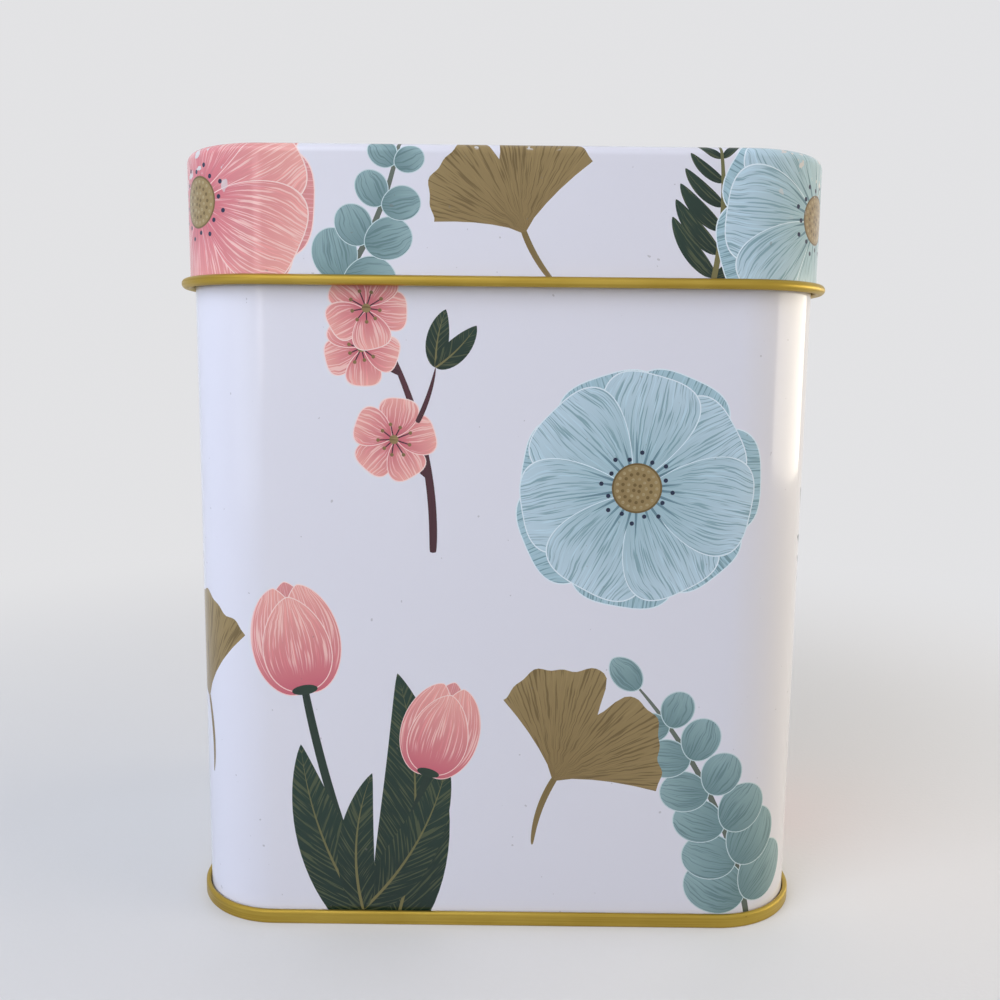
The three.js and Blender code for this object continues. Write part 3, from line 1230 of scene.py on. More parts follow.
@dataclass
class BodySheet(TinSheet):
    """The body: a sheet rolled round, with its ends locked at the back, a hook below and a roll above.

    Args:
        groove: from where to where the lock seam's hairline runs, left of the back cut.
        groove_depth: depth of the hairline.
        groove_slope: width of its sides.
        groove_foot: height at which it starts.
        seam_margin: how far the print stays off the back cut.
        seam_half_width: half of the width of the seam's folds inside.
        seam_thickness: how far they stand off the wall.
        seam_rounding: radius of their edges.
        seam_heights: lowest and highest height of the folds.
        overlap: how near the back cut a motif stands that is carried on at its other side.
    """

    groove: Span = (1.4, 1.7)
    groove_depth: float = 0.1
    groove_slope: float = 0.05
    groove_foot: float = 3.6
    seam_margin: float = 2.4
    seam_half_width: float = 1.7
    seam_thickness: float = 0.56
    seam_rounding: float = 0.28
    seam_heights: Span = (3.58, 161.47)
    overlap: float = 45.0

    def __post_init__(self) -> None:
        """Carry the motifs that cross the back cut on at its other side."""
        for place in list(self.placements):
            if abs(place.u) > self.plan.end - self.overlap:
                beyond = place.u - math.copysign(2 * self.plan.end, place.u)
                self.placements.append(replace(place, u=beyond))

    def groove_marks(self) -> tuple[float, float, float, float]:
        """Places on the girth of the hairline's edges and of its floor's edges, growing."""
        near, far = (self.plan.end - away for away in self.groove)
        return far, far + self.groove_slope, near - self.groove_slope, near

    def lattice(self) -> Lattice:
        """Lay the sheet flat, u across and the section's length up, as for any sheet."""
        columns = self.plan.columns(self.groove_marks())
        rows = self.line.rows()
        across, up = np.meshgrid(columns, rows)
        grid = np.arange(across.size).reshape(across.shape)
        border = np.concatenate([grid[0], grid[1:, -1], grid[-1, -2::-1], grid[-2:0:-1, 0]])
        return Lattice(np.stack([across.ravel(), up.ravel()], -1), border.tolist())

    @property
    def wall(self) -> Span:
        """Length along the section where the wall starts, and its height there."""
        return float(self.line.marks[2]), self.line.runs[2].start[1]

    def to_plane(self, points: Array, chart: Chart) -> Array:
        """Take points of the girth chart to the flat sheet, held within the print's reach."""
        along, height = self.wall
        end = self.plan.end - self.seam_margin
        level = np.clip(points[:, 1], *self.print_heights)
        return np.stack([np.clip(points[:, 0], -end, end), level - height + along], -1)

    def to_chart(self, points: Array, chart: Chart) -> Array:
        """Take points of the flat sheet back to the girth chart."""
        along, height = self.wall
        return points - np.array([0, along - height])

    def lift(self, points: Array, side: int) -> tuple[Array, Array]:
        """Form points of the flat sheet into the box, as for any sheet."""
        section, normal = self.line.at(points[:, 1], side)
        if side > 0:
            _, first, last, _ = self.groove_marks()
            sunk = (points[:, 0] > first - ON_EDGE) & (points[:, 0] < last + ON_EDGE)
            section[:, 0] -= self.groove_depth * sunk * (section[:, 1] > self.groove_foot)
        core, out = self.plan.frame(points[:, 0])
        plan = core + out * (self.plan.corner + section[:, :1])
        space = np.concatenate([plan, section[:, 1:]], 1)
        return space, np.concatenate([out * normal[:, :1], normal[:, 1:]], 1)

    def folds(self) -> tuple[Array, Faces]:
        """Build the lock seam's folds, which stand on the back wall's inner face.

        Returns:
            Their points and faces.
        """
        wall = self.plan.half_depth - self.line.gauge
        angles = np.linspace(0, QUARTER, 6)
        inset = self.seam_rounding * (1 - np.cos(angles))
        rise = self.seam_rounding * (1 - np.sin(angles))
        across = np.concatenate([inset - self.seam_half_width, (self.seam_half_width - inset)[::-1]])
        front = wall - self.seam_thickness + np.concatenate([rise, rise[::-1]])
        back = np.full(len(across), wall + self.line.gauge / 4)
        rows = [(depth, height) for height in self.seam_heights for depth in (front, back)]
        points = [np.stack([across, depth, np.full(len(across), height)], -1) for depth, height in rows]
        count = len(across)
        faces: Faces = []
        for at in range(count - 1):
            low, deep, high, far = (at + row * count for row in range(4))
            faces += [(low, low + 1, high + 1, high), (deep, far, far + 1, deep + 1)]
            faces += [(low, deep, deep + 1, low + 1), (high, high + 1, far + 1, far)]
        low, deep, high, far = (row * count for row in range(4))
        faces.append((low, high, far, deep))
        low, deep, high, far = (row * count + count - 1 for row in range(4))
        faces.append((low, deep, far, high))
        return np.concatenate(points), faces

    def seams(self, points: Array) -> tuple[list[Array], Array]:
        """Name the raw edges below and above, and match the back cut's, as for any sheet."""
        end, top = self.plan.end, float(self.line.marks[-1])
        low = np.flatnonzero(points[:, 1] < ON_EDGE)
        high = np.flatnonzero(points[:, 1] > top - ON_EDGE)
        left = np.flatnonzero(points[:, 0] < ON_EDGE - end)
        right = np.flatnonzero(points[:, 0] > end - ON_EDGE)
        same = np.arange(len(points))
        same[right[np.argsort(points[right, 1])]] = left[np.argsort(points[left, 1])]
        low = low[np.argsort(points[low, 0])]
        high = high[np.argsort(points[high, 0])][::-1]
        return [low, high], same


@dataclass
class LidSheet(TinSheet):
    """The lid: a sheet drawn down all round, its edge curled out so that its gold side shows.

    Args:
        top_step: about how long a step is on the flat top.
        top_margin: how far the flat top's net stays off its edge.
    """

    top_step: float = 3.0
    top_margin: float = 1.3

    @property
    def inset(self) -> float:
        """Distance of the flat top's edge from the plan's core."""
        return self.plan.corner + self.line.runs[0].start[0]

    @property
    def top_height(self) -> float:
        """Height of the middle of the flat top."""
        return self.line.runs[0].start[1] + self.line.runs[0].radius

    def lattice(self) -> Lattice:
        """Lay the lid's blank flat: rings outside the flat top's edge, and a net inside it."""
        columns = self.plan.columns()[:-1]
        rows = self.line.rows()
        core, out = self.plan.frame(columns)
        rings = [core + out * (self.inset + row) for row in rows]
        count = len(columns)
        flat = self.plan.flat + self.inset
        grid = np.meshgrid(*(np.linspace(-size, size, int(2 * size / self.top_step) + 1) for size in flat))
        inner = np.stack([axis.ravel() for axis in grid], -1)
        reach = self.plan.unroll(inner)[2]
        points = np.concatenate(rings + [inner[reach < self.inset - self.top_margin]])
        last = (len(rows) - 1) * count
        guides = []
        for ring in range(self.line.runs[0].steps + 1):
            first = ring * count
            guides += [(first + step, first + (step + 1) % count) for step in range(count)]
        return Lattice(points, list(range(last, last + count)), guides)

    def to_plane(self, points: Array, chart: Chart) -> Array:
        """Take points of a chart to the blank, held above the print's lower end, as for any sheet."""
        edge, skirt = self.line.marks[1], self.line.runs[1].start[1]
        limit = edge + skirt - self.print_heights[0]
        if chart is Chart.BLANK:
            core, out, reach, _ = self.plan.unroll(points)
            held = np.minimum(reach, self.inset + limit)
            return core + out * held[:, None]
        core, out = self.plan.frame(points[:, 0])
        along = np.clip(edge + skirt - points[:, 1], 1 - self.inset, limit)
        return core + out * (self.inset + along)[:, None]

    def to_chart(self, points: Array, chart: Chart) -> Array:
        """Take points of the blank back to a chart, as for any sheet."""
        if chart is Chart.BLANK:
            return points
        _, _, reach, girth = self.plan.unroll(points)
        edge, skirt = self.line.marks[1], self.line.runs[1].start[1]
        return np.stack([girth, edge + skirt - (reach - self.inset)], -1)

    def lift(self, points: Array, side: int) -> tuple[Array, Array]:
        """Form points of the blank into the lid, as for any sheet."""
        core, out, reach, _ = self.plan.unroll(points)
        along = reach - self.inset
        section, normal = self.line.at(np.maximum(along, 0), side)
        plan = core + out * (self.plan.corner + section[:, :1])
        space = np.concatenate([plan, section[:, 1:]], 1)
        normals = np.concatenate([out * normal[:, :1], normal[:, 1:]], 1)
        flat = along <= TINY
        space[flat, :2] = points[flat]
        space[flat, 2] = self.top_height + side * self.line.gauge / 2
        normals[flat] = (0, 0, 1)
        return space, normals

    def seams(self, points: Array) -> tuple[list[Array], Array]:
        """Name the raw edge at the end of the curl, as for any sheet."""
        _, _, reach, girth = self.plan.unroll(points)
        edge = np.flatnonzero(reach > self.inset + self.line.marks[-1] - ON_EDGE)
        edge = edge[np.argsort(girth[edge])]
        return [np.append(edge, edge[0])], np.arange(len(points))


class Graph:
    """A node tree with short ways to add and join its nodes."""

    def __init__(self, tree: NodeTree) -> None:
        """Take the tree to build in."""
        self.tree = tree

    def node(self, kind: str, inputs: dict | None = None, **settings: object) -> Node:
        """Add a node.

        Args:
            kind: the node's type.
            inputs: values or sockets for its inputs, by name or number.
            settings: its other settings.

        Returns:
            The node.
        """
        made = self.tree.nodes.new(kind)
        for name, value in settings.items():
            setattr(made, name, value)
        self.feed(made, inputs or {})
        return made

    def feed(self, made: Node, inputs: dict) -> None:
        """Join a node's inputs to sockets, or set their own values."""
        for key, value in inputs.items():
            if isinstance(value, Socket):
                self.tree.links.new(value, made.inputs[key])
            else:
                made.inputs[key].default_value = value

    def maths(self, operation: str, *values: object) -> Socket:
        """Add a sum on numbers and return its result."""
        return self.node("ShaderNodeMath", dict(enumerate(values)), operation=operation).outputs[0]

    def vector(self, operation: str, *values: object) -> Socket:
        """Add a sum on vectors and return its result."""
        return self.node("ShaderNodeVectorMath", dict(enumerate(values)), operation=operation).outputs[0]

    def length(self, place: object) -> Socket:
        """Add the length of a vector and return it."""
        return self.node("ShaderNodeVectorMath", {0: place}, operation="LENGTH").outputs["Value"]

    def axis(self, place: object, name: str) -> Socket:
        """Add one axis of a vector and return it."""
        return self.node("ShaderNodeSeparateXYZ", {0: place}).outputs[name]

    def blend(self, share: object, first: object, second: object) -> Socket:
        """Add a mix of two colours and return it."""
        return self.node("ShaderNodeMix", {0: share, 6: first, 7: second}, data_type="RGBA").outputs[2]

    def window(self, value: object, low: float, high: float, floor: float = 0.0, top: float = 1.0) -> Socket:
        """Add a smooth step between two levels and return it."""
        inputs = {0: value, 1: low, 2: high, 3: floor, 4: top}
        return self.node("ShaderNodeMapRange", inputs, interpolation_type="SMOOTHSTEP").outputs[0]

    def noise(self, place: object, scale: float, detail: float = 2.0) -> Socket:
        """Add a noise and return its value."""
        inputs = {"Vector": place, "Scale": scale, "Detail": detail}
        return self.node("ShaderNodeTexNoise", inputs).outputs["Fac"]

    def stretched(self, place: object, scale: Triple, detail: float = 2.0) -> Socket:
        """Add a noise that is scaled apart along the axes and return its value."""
        return self.noise(self.vector("MULTIPLY", place, scale), 1.0, detail)

    def effect(self, group: NodeTree, place: Socket) -> bpy.types.bpy_prop_collection:
        """Add a shader node group and return its outputs."""
        return self.node("ShaderNodeGroup", {"Place": place}, node_tree=group).outputs

    def relief(self, shader: Node, height: object, strength: float, distance: float) -> None:
        """Raise a shader's surface by a height."""
        bump = self.node("ShaderNodeBump", {"Height": height, "Strength": strength, "Distance": distance})
        self.feed(shader, {"Normal": bump.outputs[0]})


def rgba(colour: Colour) -> tuple[float, ...]:
    """A printed colour of 0 to 255 as a shader's colour."""
    return (*linear(colour), 1.0)


class Effect:
    """What several finishes share: a shader node group that reads a place and puts out values."""

    name = ""
    outputs: tuple[str, ...] = ()

    def group(self) -> NodeTree:
        """Build the group.

        Returns:
            The group, with the input Place and one output for each value.
        """
        tree = bpy.data.node_groups.new(self.name, "ShaderNodeTree")
        tree.interface.new_socket("Place", in_out="INPUT", socket_type="NodeSocketVector")
        for output in self.outputs:
            tree.interface.new_socket(output, in_out="OUTPUT", socket_type="NodeSocketFloat")
        graph = Graph(tree)
        place = graph.node("NodeGroupInput").outputs["Place"]
        graph.node("NodeGroupOutput", dict(zip(self.outputs, self.values(graph, place))))
        return tree

    def values(self, graph: Graph, place: Socket) -> tuple[Socket, ...]:
        """Add the effect's values, in the order of its outputs."""
        raise NotImplementedError


@dataclass(frozen=True)
class HandlingMarks(Effect):
    """The small marks that tinplate gathers: smudges, specks and fine scratches.

    Args:
        smudges: how dense the smudges lie.
        specks: how dense the specks lie.
        scratches: how dense the scratches lie along each axis.
        scratch_turn: how far they are turned on the front, in radians.
        patches: how dense the scratched patches lie.
    """

    name = "Handling marks"
    outputs = ("Smudge", "Speck", "Scratch")
    smudges: float = 24.0
    specks: float = 760.0
    scratches: Triple = (55.0, 900.0, 2600.0)
    scratch_turn: float = 0.7
    patches: float = 38.0

    def values(self, graph: Graph, place: Socket) -> tuple[Socket, ...]:
        """The smudges, the specks, and the scratches in their patches."""
        smudge = graph.window(graph.noise(place, self.smudges, 3.0), 0.35, 0.7)
        speck = graph.window(graph.noise(place, self.specks, 1.0), 0.775, 0.79)
        turn = {"Vector": place, "Angle": self.scratch_turn}
        turned = graph.node("ShaderNodeVectorRotate", turn, rotation_type="Y_AXIS").outputs[0]
        lines = graph.window(graph.stretched(turned, self.scratches, 1.0), 0.66, 0.7)
        patches = graph.window(graph.noise(place, self.patches, 1.0), 0.54, 0.66)
        return smudge, speck, graph.maths("MULTIPLY", lines, patches)


@dataclass(frozen=True)
class PaperFibre(Effect):
    """What pulp shows close up: cloudy tone, short fibres and tooth.

    Args:
        clouds: how dense the clouds lie.
        fibres: how dense the fibres lie along each axis.
        tooth: how dense the tooth is.
    """

    name = "Paper fibre"
    outputs = ("Cloud", "Fibre", "Tooth")
    clouds: float = 60.0
    fibres: Triple = (420.0, 900.0, 1800.0)
    tooth: float = 2600.0

    def values(self, graph: Graph, place: Socket) -> tuple[Socket, ...]:
        """The clouds, the fibres and the tooth."""
        fibre = graph.window(graph.stretched(place, self.fibres, 3.0), 0.52, 0.72)
        return graph.noise(place, self.clouds, 4.0), fibre, graph.noise(place, self.tooth, 2.0)


class Finish:
    """A material of the box."""

    name: str

    def material(self) -> Material:
        """Build the material.

        Returns:
            The material, dressed on object coordinates.
        """
        made = bpy.data.materials.new(self.name)
        made.use_nodes = True
        made.node_tree.nodes.clear()
        graph = Graph(made.node_tree)
        shader = graph.node("ShaderNodeBsdfPrincipled")
        place = graph.node("ShaderNodeTexCoord").outputs["Object"]
        self.dress(graph, shader, place)
        graph.node("ShaderNodeOutputMaterial", {"Surface": self.surface(graph, shader, place)})
        return made

    def surface(self, graph: Graph, shader: Node, place: Socket) -> Socket:
        """The shading that the material shows."""
        return shader.outputs[0]

    def dress(self, graph: Graph, shader: Node, place: Socket) -> None:
        """Join the finish's colour, gloss and relief to its shader.

        Args:
            graph: the material's tree.
            shader: its shader.
            place: the socket of its object coordinates.
        """
        raise NotImplementedError


@dataclass(frozen=True)
class PrintedTin(Finish):
    """White enamel and inks under a satin varnish.

    Args:
        marks: the group of handling marks.
        name: name of the material.
        stroke_length: how long a brush stroke is, in millimetres.
        stroke_width: how wide it is.
        pale_shift: how far the pale strokes' pattern lies from the dark ones'.
        speck: colour of the specks.
        roughness: roughness of the enamel.
        varnish: weight of the varnish.
        varnish_roughness: its roughness.
        under_varnish: gloss of the enamel beneath it.
        ripple: height of the sheet's long waves, in metres.
        peel: height of the varnish's fine ones.
        knocked: heights between which the lid's edge is chipped, in millimetres.
        corners: distances from the box's middle between which the chips of its corners begin.
        corner_heights: heights between which they begin.
        corner_wear: how much denser the flakes are there.
        flakes: how dense the flakes lie.
        bare: what shows in the chips.
    """

    marks: NodeTree
    name: str = "printed_tin"
    stroke_length: float = 9.0
    stroke_width: float = 0.42
    pale_shift: Triple = (0.37, 0.53, 4.0)
    speck: Colour = (120, 116, 112)
    roughness: float = 0.45
    varnish: float = 0.8
    varnish_roughness: float = 0.1
    under_varnish: float = 0.1
    ripple: float = 0.00012
    peel: float = 0.0000012
    knocked: Span = (162.6, 163.98)
    corners: Span = (70.5, 74.0)
    corner_heights: Span = (148.0, 160.0)
    corner_wear: float = 0.035
    flakes: float = 330.0
    bare: Colour = (216, 214, 210)

    def dress(self, graph: Graph, shader: Node, place: Socket) -> None:
        """Join the print, its varnish and its wear to the shader, as for any finish."""
        marks = graph.effect(self.marks, place)
        speck = graph.maths("MULTIPLY", marks["Speck"], 0.35)
        colour = graph.blend(speck, self.brushwork(graph), rgba(self.speck))
        colour = graph.blend(self.chips(graph, place), colour, rgba(self.bare))
        rough = graph.maths("MULTIPLY_ADD", marks["Smudge"], 0.06, self.roughness)
        rough = graph.maths("MULTIPLY_ADD", marks["Scratch"], 0.12, rough)
        graph.feed(shader, {"Base Color": colour, "Roughness": rough, "Coat Weight": self.varnish})
        gloss = {"Coat Roughness": self.varnish_roughness, "Specular IOR Level": self.under_varnish}
        graph.feed(shader, gloss)
        ripple = graph.maths("MULTIPLY", graph.noise(place, 22.0, 1.0), self.ripple)
        peel = graph.maths("MULTIPLY_ADD", graph.noise(place, 420.0, 2.0), self.peel, ripple)
        height = graph.maths("MULTIPLY_ADD", marks["Scratch"], -self.peel, peel)
        graph.relief(shader, height, 1.0, 1.0)

    def brushwork(self, graph: Graph) -> Socket:
        """Add the inks with their dark and pale brush strokes, and return their colour."""
        ink = graph.node("ShaderNodeVertexColor", layer_name="ink").outputs["Color"]
        hair = graph.node("ShaderNodeVertexColor", layer_name="hair").outputs
        brush = graph.node("ShaderNodeUVMap", uv_map="brush").outputs["UV"]
        scale = (BRUSH_MAP / self.stroke_length, BRUSH_MAP / self.stroke_width, 1.0)
        dark = graph.window(graph.stretched(brush, scale, 1.5), 0.52, 0.62)
        shifted = graph.vector("ADD", brush, self.pale_shift)
        pale = graph.window(graph.stretched(shifted, scale, 1.5), 0.54, 0.66)
        pale = graph.maths("MULTIPLY", pale, graph.maths("MULTIPLY", hair["Alpha"], 0.5))
        colour = graph.blend(pale, ink, graph.vector("MULTIPLY", ink, (1.3, 1.3, 1.3)))
        return graph.blend(graph.maths("MULTIPLY", dark, hair["Alpha"]), colour, hair["Color"])

    def chips(self, graph: Graph, place: Socket) -> Socket:
        """Add the mask of small chips, where the lid's upper edge and corners have been knocked.

        Args:
            graph: the material's tree.
            place: the socket of its object coordinates.

        Returns:
            The mask.
        """
        height = graph.axis(place, "Z")
        low, high = (level * MM for level in self.knocked)
        edge = graph.window(height, low, low + 0.0006)
        edge = graph.maths("MULTIPLY", edge, graph.window(height, high - 0.0002, high, 1.0, 0.0))
        reach = graph.length(graph.vector("MULTIPLY", place, (1.0, 1.0, 0.0)))
        corner = graph.window(reach, *(distance * MM for distance in self.corners))
        raised = graph.window(height, *(level * MM for level in self.corner_heights))
        corner = graph.maths("MULTIPLY", corner, raised)
        flakes = graph.noise(place, self.flakes, 3.0)
        flakes = graph.maths("MULTIPLY_ADD", corner, self.corner_wear, flakes)
        worn = graph.maths("MAXIMUM", edge, corner)
        return graph.maths("MULTIPLY", worn, graph.window(flakes, 0.66, 0.68))


@dataclass(frozen=True)
class GoldLacquer(Finish):
    """Gold lacquer on bare tinplate, with fine drawing streaks along the sheet.

    Args:
        marks: the group of handling marks.
        name: name of the material.
        colour: the lacquer's colour.
        deep: its colour where it lies thick.
        speck: colour of the specks.
        clouds: how dense the thick patches lie.
        streaks: how dense the streaks lie along each axis.
        roughness: its roughness.
        metal: how much of it is metal.
        grain: height of its streaks and tooth, in metres.
        ripple: height of the sheet's waves.
    """

    marks: NodeTree
    name: str = "gold_lacquer"
    colour: Colour = (192, 165, 76)
    deep: Colour = (164, 136, 50)
    speck: Colour = (96, 78, 40)
    clouds: float = 55.0
    streaks: Triple = (26.0, 26.0, 2400.0)
    roughness: float = 0.34
    metal: float = 0.92
    grain: float = 0.000006
    ripple: float = 0.0002

    def dress(self, graph: Graph, shader: Node, place: Socket) -> None:
        """Join the lacquer to its shader, as for any finish."""
        marks = graph.effect(self.marks, place)
        cloud = graph.window(graph.noise(place, self.clouds, 3.0), 0.3, 0.7)
        streak = graph.window(graph.stretched(place, self.streaks, 3.0), 0.35, 0.7)
        thick = graph.maths("MULTIPLY_ADD", streak, 0.45, graph.maths("MULTIPLY", cloud, 0.4))
        colour = graph.blend(thick, rgba(self.colour), rgba(self.deep))
        colour = graph.blend(graph.maths("MULTIPLY", marks["Speck"], 0.5), colour, rgba(self.speck))
        rough = graph.maths("MULTIPLY_ADD", streak, 0.12, self.roughness)
        rough = graph.maths("MULTIPLY_ADD", marks["Smudge"], 0.08, rough)
        graph.feed(shader, {"Base Color": colour, "Roughness": rough, "Metallic": self.metal})
        grain = graph.maths("MULTIPLY_ADD", streak, 0.5, graph.noise(place, 900.0, 2.0))
        ripple = graph.maths("MULTIPLY", graph.noise(place, 70.0, 1.0), self.ripple)
        graph.relief(shader, graph.maths("MULTIPLY_ADD", grain, self.grain, ripple), 1.0, 1.0)


@dataclass(frozen=True)
class PaperStock(Finish):
    """Card or board: cloudy pulp with fibres, ruled where it is for writing on.

    Args:
        fibre: the group of pulp.
        name: name of the material.
        colour: its colour.
        shade: its colour in the deeper clouds.
        ruled: whether its face is ruled.
        rule_pitch: from rule to rule, in millimetres.
        rule_width: how wide a rule is.
        first_rule: height of the first rule.
        rules: how many pitches the rules go up.
        rule_colour: the rules' colour.
        tooth: height of the tooth, in metres.
    """

    fibre: NodeTree
    name: str
    colour: Colour
    shade: Colour
    ruled: bool = False
    rule_pitch: float = 7.1
    rule_width: float = 0.35
    first_rule: float = 4.04
    rules: float = 17.6
    rule_colour: Colour = (140, 172, 196)
    tooth: float = 0.00008

    def dress(self, graph: Graph, shader: Node, place: Socket) -> None:
        """Join the stock to its shader, as for any finish."""
        fibre = graph.effect(self.fibre, place)
        colour = graph.blend(fibre["Cloud"], rgba(self.colour), rgba(self.shade))
        colour = graph.blend(graph.maths("MULTIPLY", fibre["Fibre"], 0.35), colour, rgba(self.shade))
        if self.ruled:
            colour = graph.blend(self.rule_mask(graph, place), colour, rgba(self.rule_colour))
        graph.feed(shader, {"Base Color": colour, "Roughness": 0.82, "Specular IOR Level": 0.3})
        tooth = graph.maths("MULTIPLY_ADD", fibre["Fibre"], 0.6, fibre["Tooth"])
        graph.relief(shader, tooth, 0.35, self.tooth)

    def rule_mask(self, graph: Graph, place: Socket) -> Socket:
        """Add the mask of the rules on the front of a card.

        Args:
            graph: the material's tree.
            place: the socket of its object coordinates.

        Returns:
            The mask.
        """
        facing = graph.node("ShaderNodeNewGeometry").outputs["Normal"]
        front = graph.maths("LESS_THAN", graph.axis(facing, "Y"), -0.9)
        pitch = self.rule_pitch * MM
        level = graph.maths("SUBTRACT", graph.axis(place, "Z"), self.first_rule * MM)
        phase = graph.maths("FRACT", graph.maths("DIVIDE", level, pitch))
        line = graph.maths("LESS_THAN", phase, self.rule_width / self.rule_pitch)
        head = graph.maths("LESS_THAN", level, self.rules * pitch)
        line = graph.maths("MULTIPLY", graph.maths("MULTIPLY", line, front), head)
        return graph.maths("MULTIPLY", line, 0.7)


@dataclass
class BasePlate:
    """The base: a plate with a countersunk panel, folded round the body's hook into a double seam.

    Args:
        plan: the box's plan.
        line: the plate's section, from the panel out to its hook.
        corner_steps: steps in which each corner is made.
        sharp: angle over which an edge stays sharp, in degrees.
    """

    plan: PlanOutline
    line: SheetLine
    corner_steps: int = 24
    sharp: float = 50.0

    def section(self) -> Object:
        """Draw the sheet's section: out along its lower face and back along its upper.

        Returns:
            The section as a curve.
        """
        rows = self.line.rows()
        under, _ = self.line.at(rows, 1)
        over, _ = self.line.at(rows, -1)
        points = np.concatenate([over, under[::-1]]) * MM
        curve = bpy.data.curves.new("base_section", "CURVE")
        curve.dimensions = "3D"
        spline = curve.splines.new("POLY")
        spline.points.add(len(points) - 1)
        for point, (offset, height) in zip(spline.points, points):
            point.co = (offset, -height, 0.0, 1.0)
        return linked(curve)

    def tree(self) -> NodeTree:
        """Build the rule that carries a section round a rounded rectangle.

        Returns:
            The Geometry Nodes tree, with named inputs for its sizes.
        """
        tree = bpy.data.node_groups.new("Section round the plan", "GeometryNodeTree")
        tree.interface.new_socket("Geometry", in_out="INPUT", socket_type="NodeSocketGeometry")
        kinds = {"Width": "Float", "Depth": "Float", "Corner": "Float", "Corner steps": "Int"}
        for name, kind in {**kinds, "Section": "Object", "Finish": "Material"}.items():
            tree.interface.new_socket(name, in_out="INPUT", socket_type=f"NodeSocket{kind}")
        tree.interface.new_socket("Geometry", in_out="OUTPUT", socket_type="NodeSocketGeometry")
        graph = Graph(tree)
        inputs = graph.node("NodeGroupInput").outputs
        sides = {"Width": inputs["Width"], "Height": inputs["Depth"]}
        path = graph.node("GeometryNodeCurvePrimitiveQuadrilateral", sides).outputs[0]
        rounding = {"Curve": path, "Count": inputs["Corner steps"], "Radius": inputs["Corner"]}
        path = graph.node("GeometryNodeFilletCurve", rounding, mode="POLY").outputs[0]
        path = graph.node("GeometryNodeSetCurveNormal", {"Curve": path}, mode="Z_UP").outputs[0]
        profile = graph.node("GeometryNodeObjectInfo", {"Object": inputs["Section"]}).outputs["Geometry"]
        swept = graph.node("GeometryNodeCurveToMesh", {"Curve": path, "Profile Curve": profile}).outputs[0]
        solid = graph.node("GeometryNodeRealizeInstances", {0: swept}).outputs[0]
        dressed = graph.node("GeometryNodeSetMaterial", {"Geometry": solid, "Material": inputs["Finish"]})
        graph.node("NodeGroupOutput", {0: dressed.outputs[0]})
        return tree

    def build(self, name: str, finish: Material) -> Object:
        """Make the plate's mesh.

        Args:
            name: name of the piece.
            finish: its material.

        Returns:
            The piece.
        """
        carrier = linked(bpy.data.meshes.new(f"{name}_carrier"))
        section = self.section()
        rule = carrier.modifiers.new("sweep", "NODES")
        rule.node_group = self.tree()
        width, depth = (self.plan.flat * 2 * MM + 2 * self.plan.corner * MM).tolist()
        values = {"Width": width, "Depth": depth, "Corner": self.plan.corner * MM}
        values.update({"Corner steps": self.corner_steps, "Section": section, "Finish": finish})
        for socket in rule.node_group.interface.items_tree:
            if socket.in_out == "INPUT" and socket.name in values:
                rule[socket.identifier] = values[socket.name]
        solved = carrier.evaluated_get(bpy.context.evaluated_depsgraph_get())
        mesh = bpy.data.meshes.new_from_object(solved)
        for spent in (carrier, section):
            bpy.data.objects.remove(spent, do_unlink=True)
        mesh.name = name
        self.close(mesh)
        return linked(clean(mesh))

    def close(self, mesh: Mesh) -> None:
        """Fill the panel, turn the faces outwards and smooth all but the raw edges.

        Args:
            mesh: the swept mesh, which is changed.
        """
        work = bmesh.new()
        work.from_mesh(mesh)
        bmesh.ops.remove_doubles(work, verts=work.verts, dist=TINY)
        open_edges = [edge for edge in work.edges if edge.is_boundary]
        bmesh.ops.holes_fill(work, edges=open_edges, sides=0)
        bmesh.ops.recalc_face_normals(work, faces=work.faces)
        for face in work.faces:
            face.smooth = True
        work.to_mesh(mesh)
        work.free()
        mesh.set_sharp_from_angle(angle=math.radians(self.sharp))


def seen_directly(graph: Graph) -> Socket:
    """Add a mask of the rays that show the room itself, straight or in gloss and glass."""
    rays = graph.node("ShaderNodeLightPath").outputs
    seen = graph.maths("MAXIMUM", rays["Is Camera Ray"], rays["Is Glossy Ray"])
    return graph.maths("MAXIMUM", seen, rays["Is Transmission Ray"])


@dataclass(frozen=True)
class Lamp:
    """A soft lamp.

    Args:
        name: its name.
        place: where it stands, in metres.
        size: its width and height.
        power: its power in watts.
        colour: its light, 0 to 255.
        aim: what it points at.
        in_gloss: whether it shows in gloss.
    """

    name: str
    place: Triple
    size: Span
    power: float
    colour: Colour = (255, 255, 255)
    aim: Triple = (0.0, 0.0, 0.08)
    in_gloss: bool = True

    def build(self) -> None:
        """Set the lamp up."""
        light = bpy.data.lights.new(self.name, "AREA")
        light.shape = "RECTANGLE"
        light.size, light.size_y = self.size
        light.energy = self.power
        light.color = linear(self.colour)
        lamp = linked(light)
        lamp.visible_camera = False
        lamp.visible_glossy = self.in_gloss
        away = Vector(self.place) - Vector(self.aim)
        turned = away.to_track_quat("Z", "Y").to_matrix().to_4x4()
        lamp.matrix_world = Matrix.Translation(self.place) @ turned


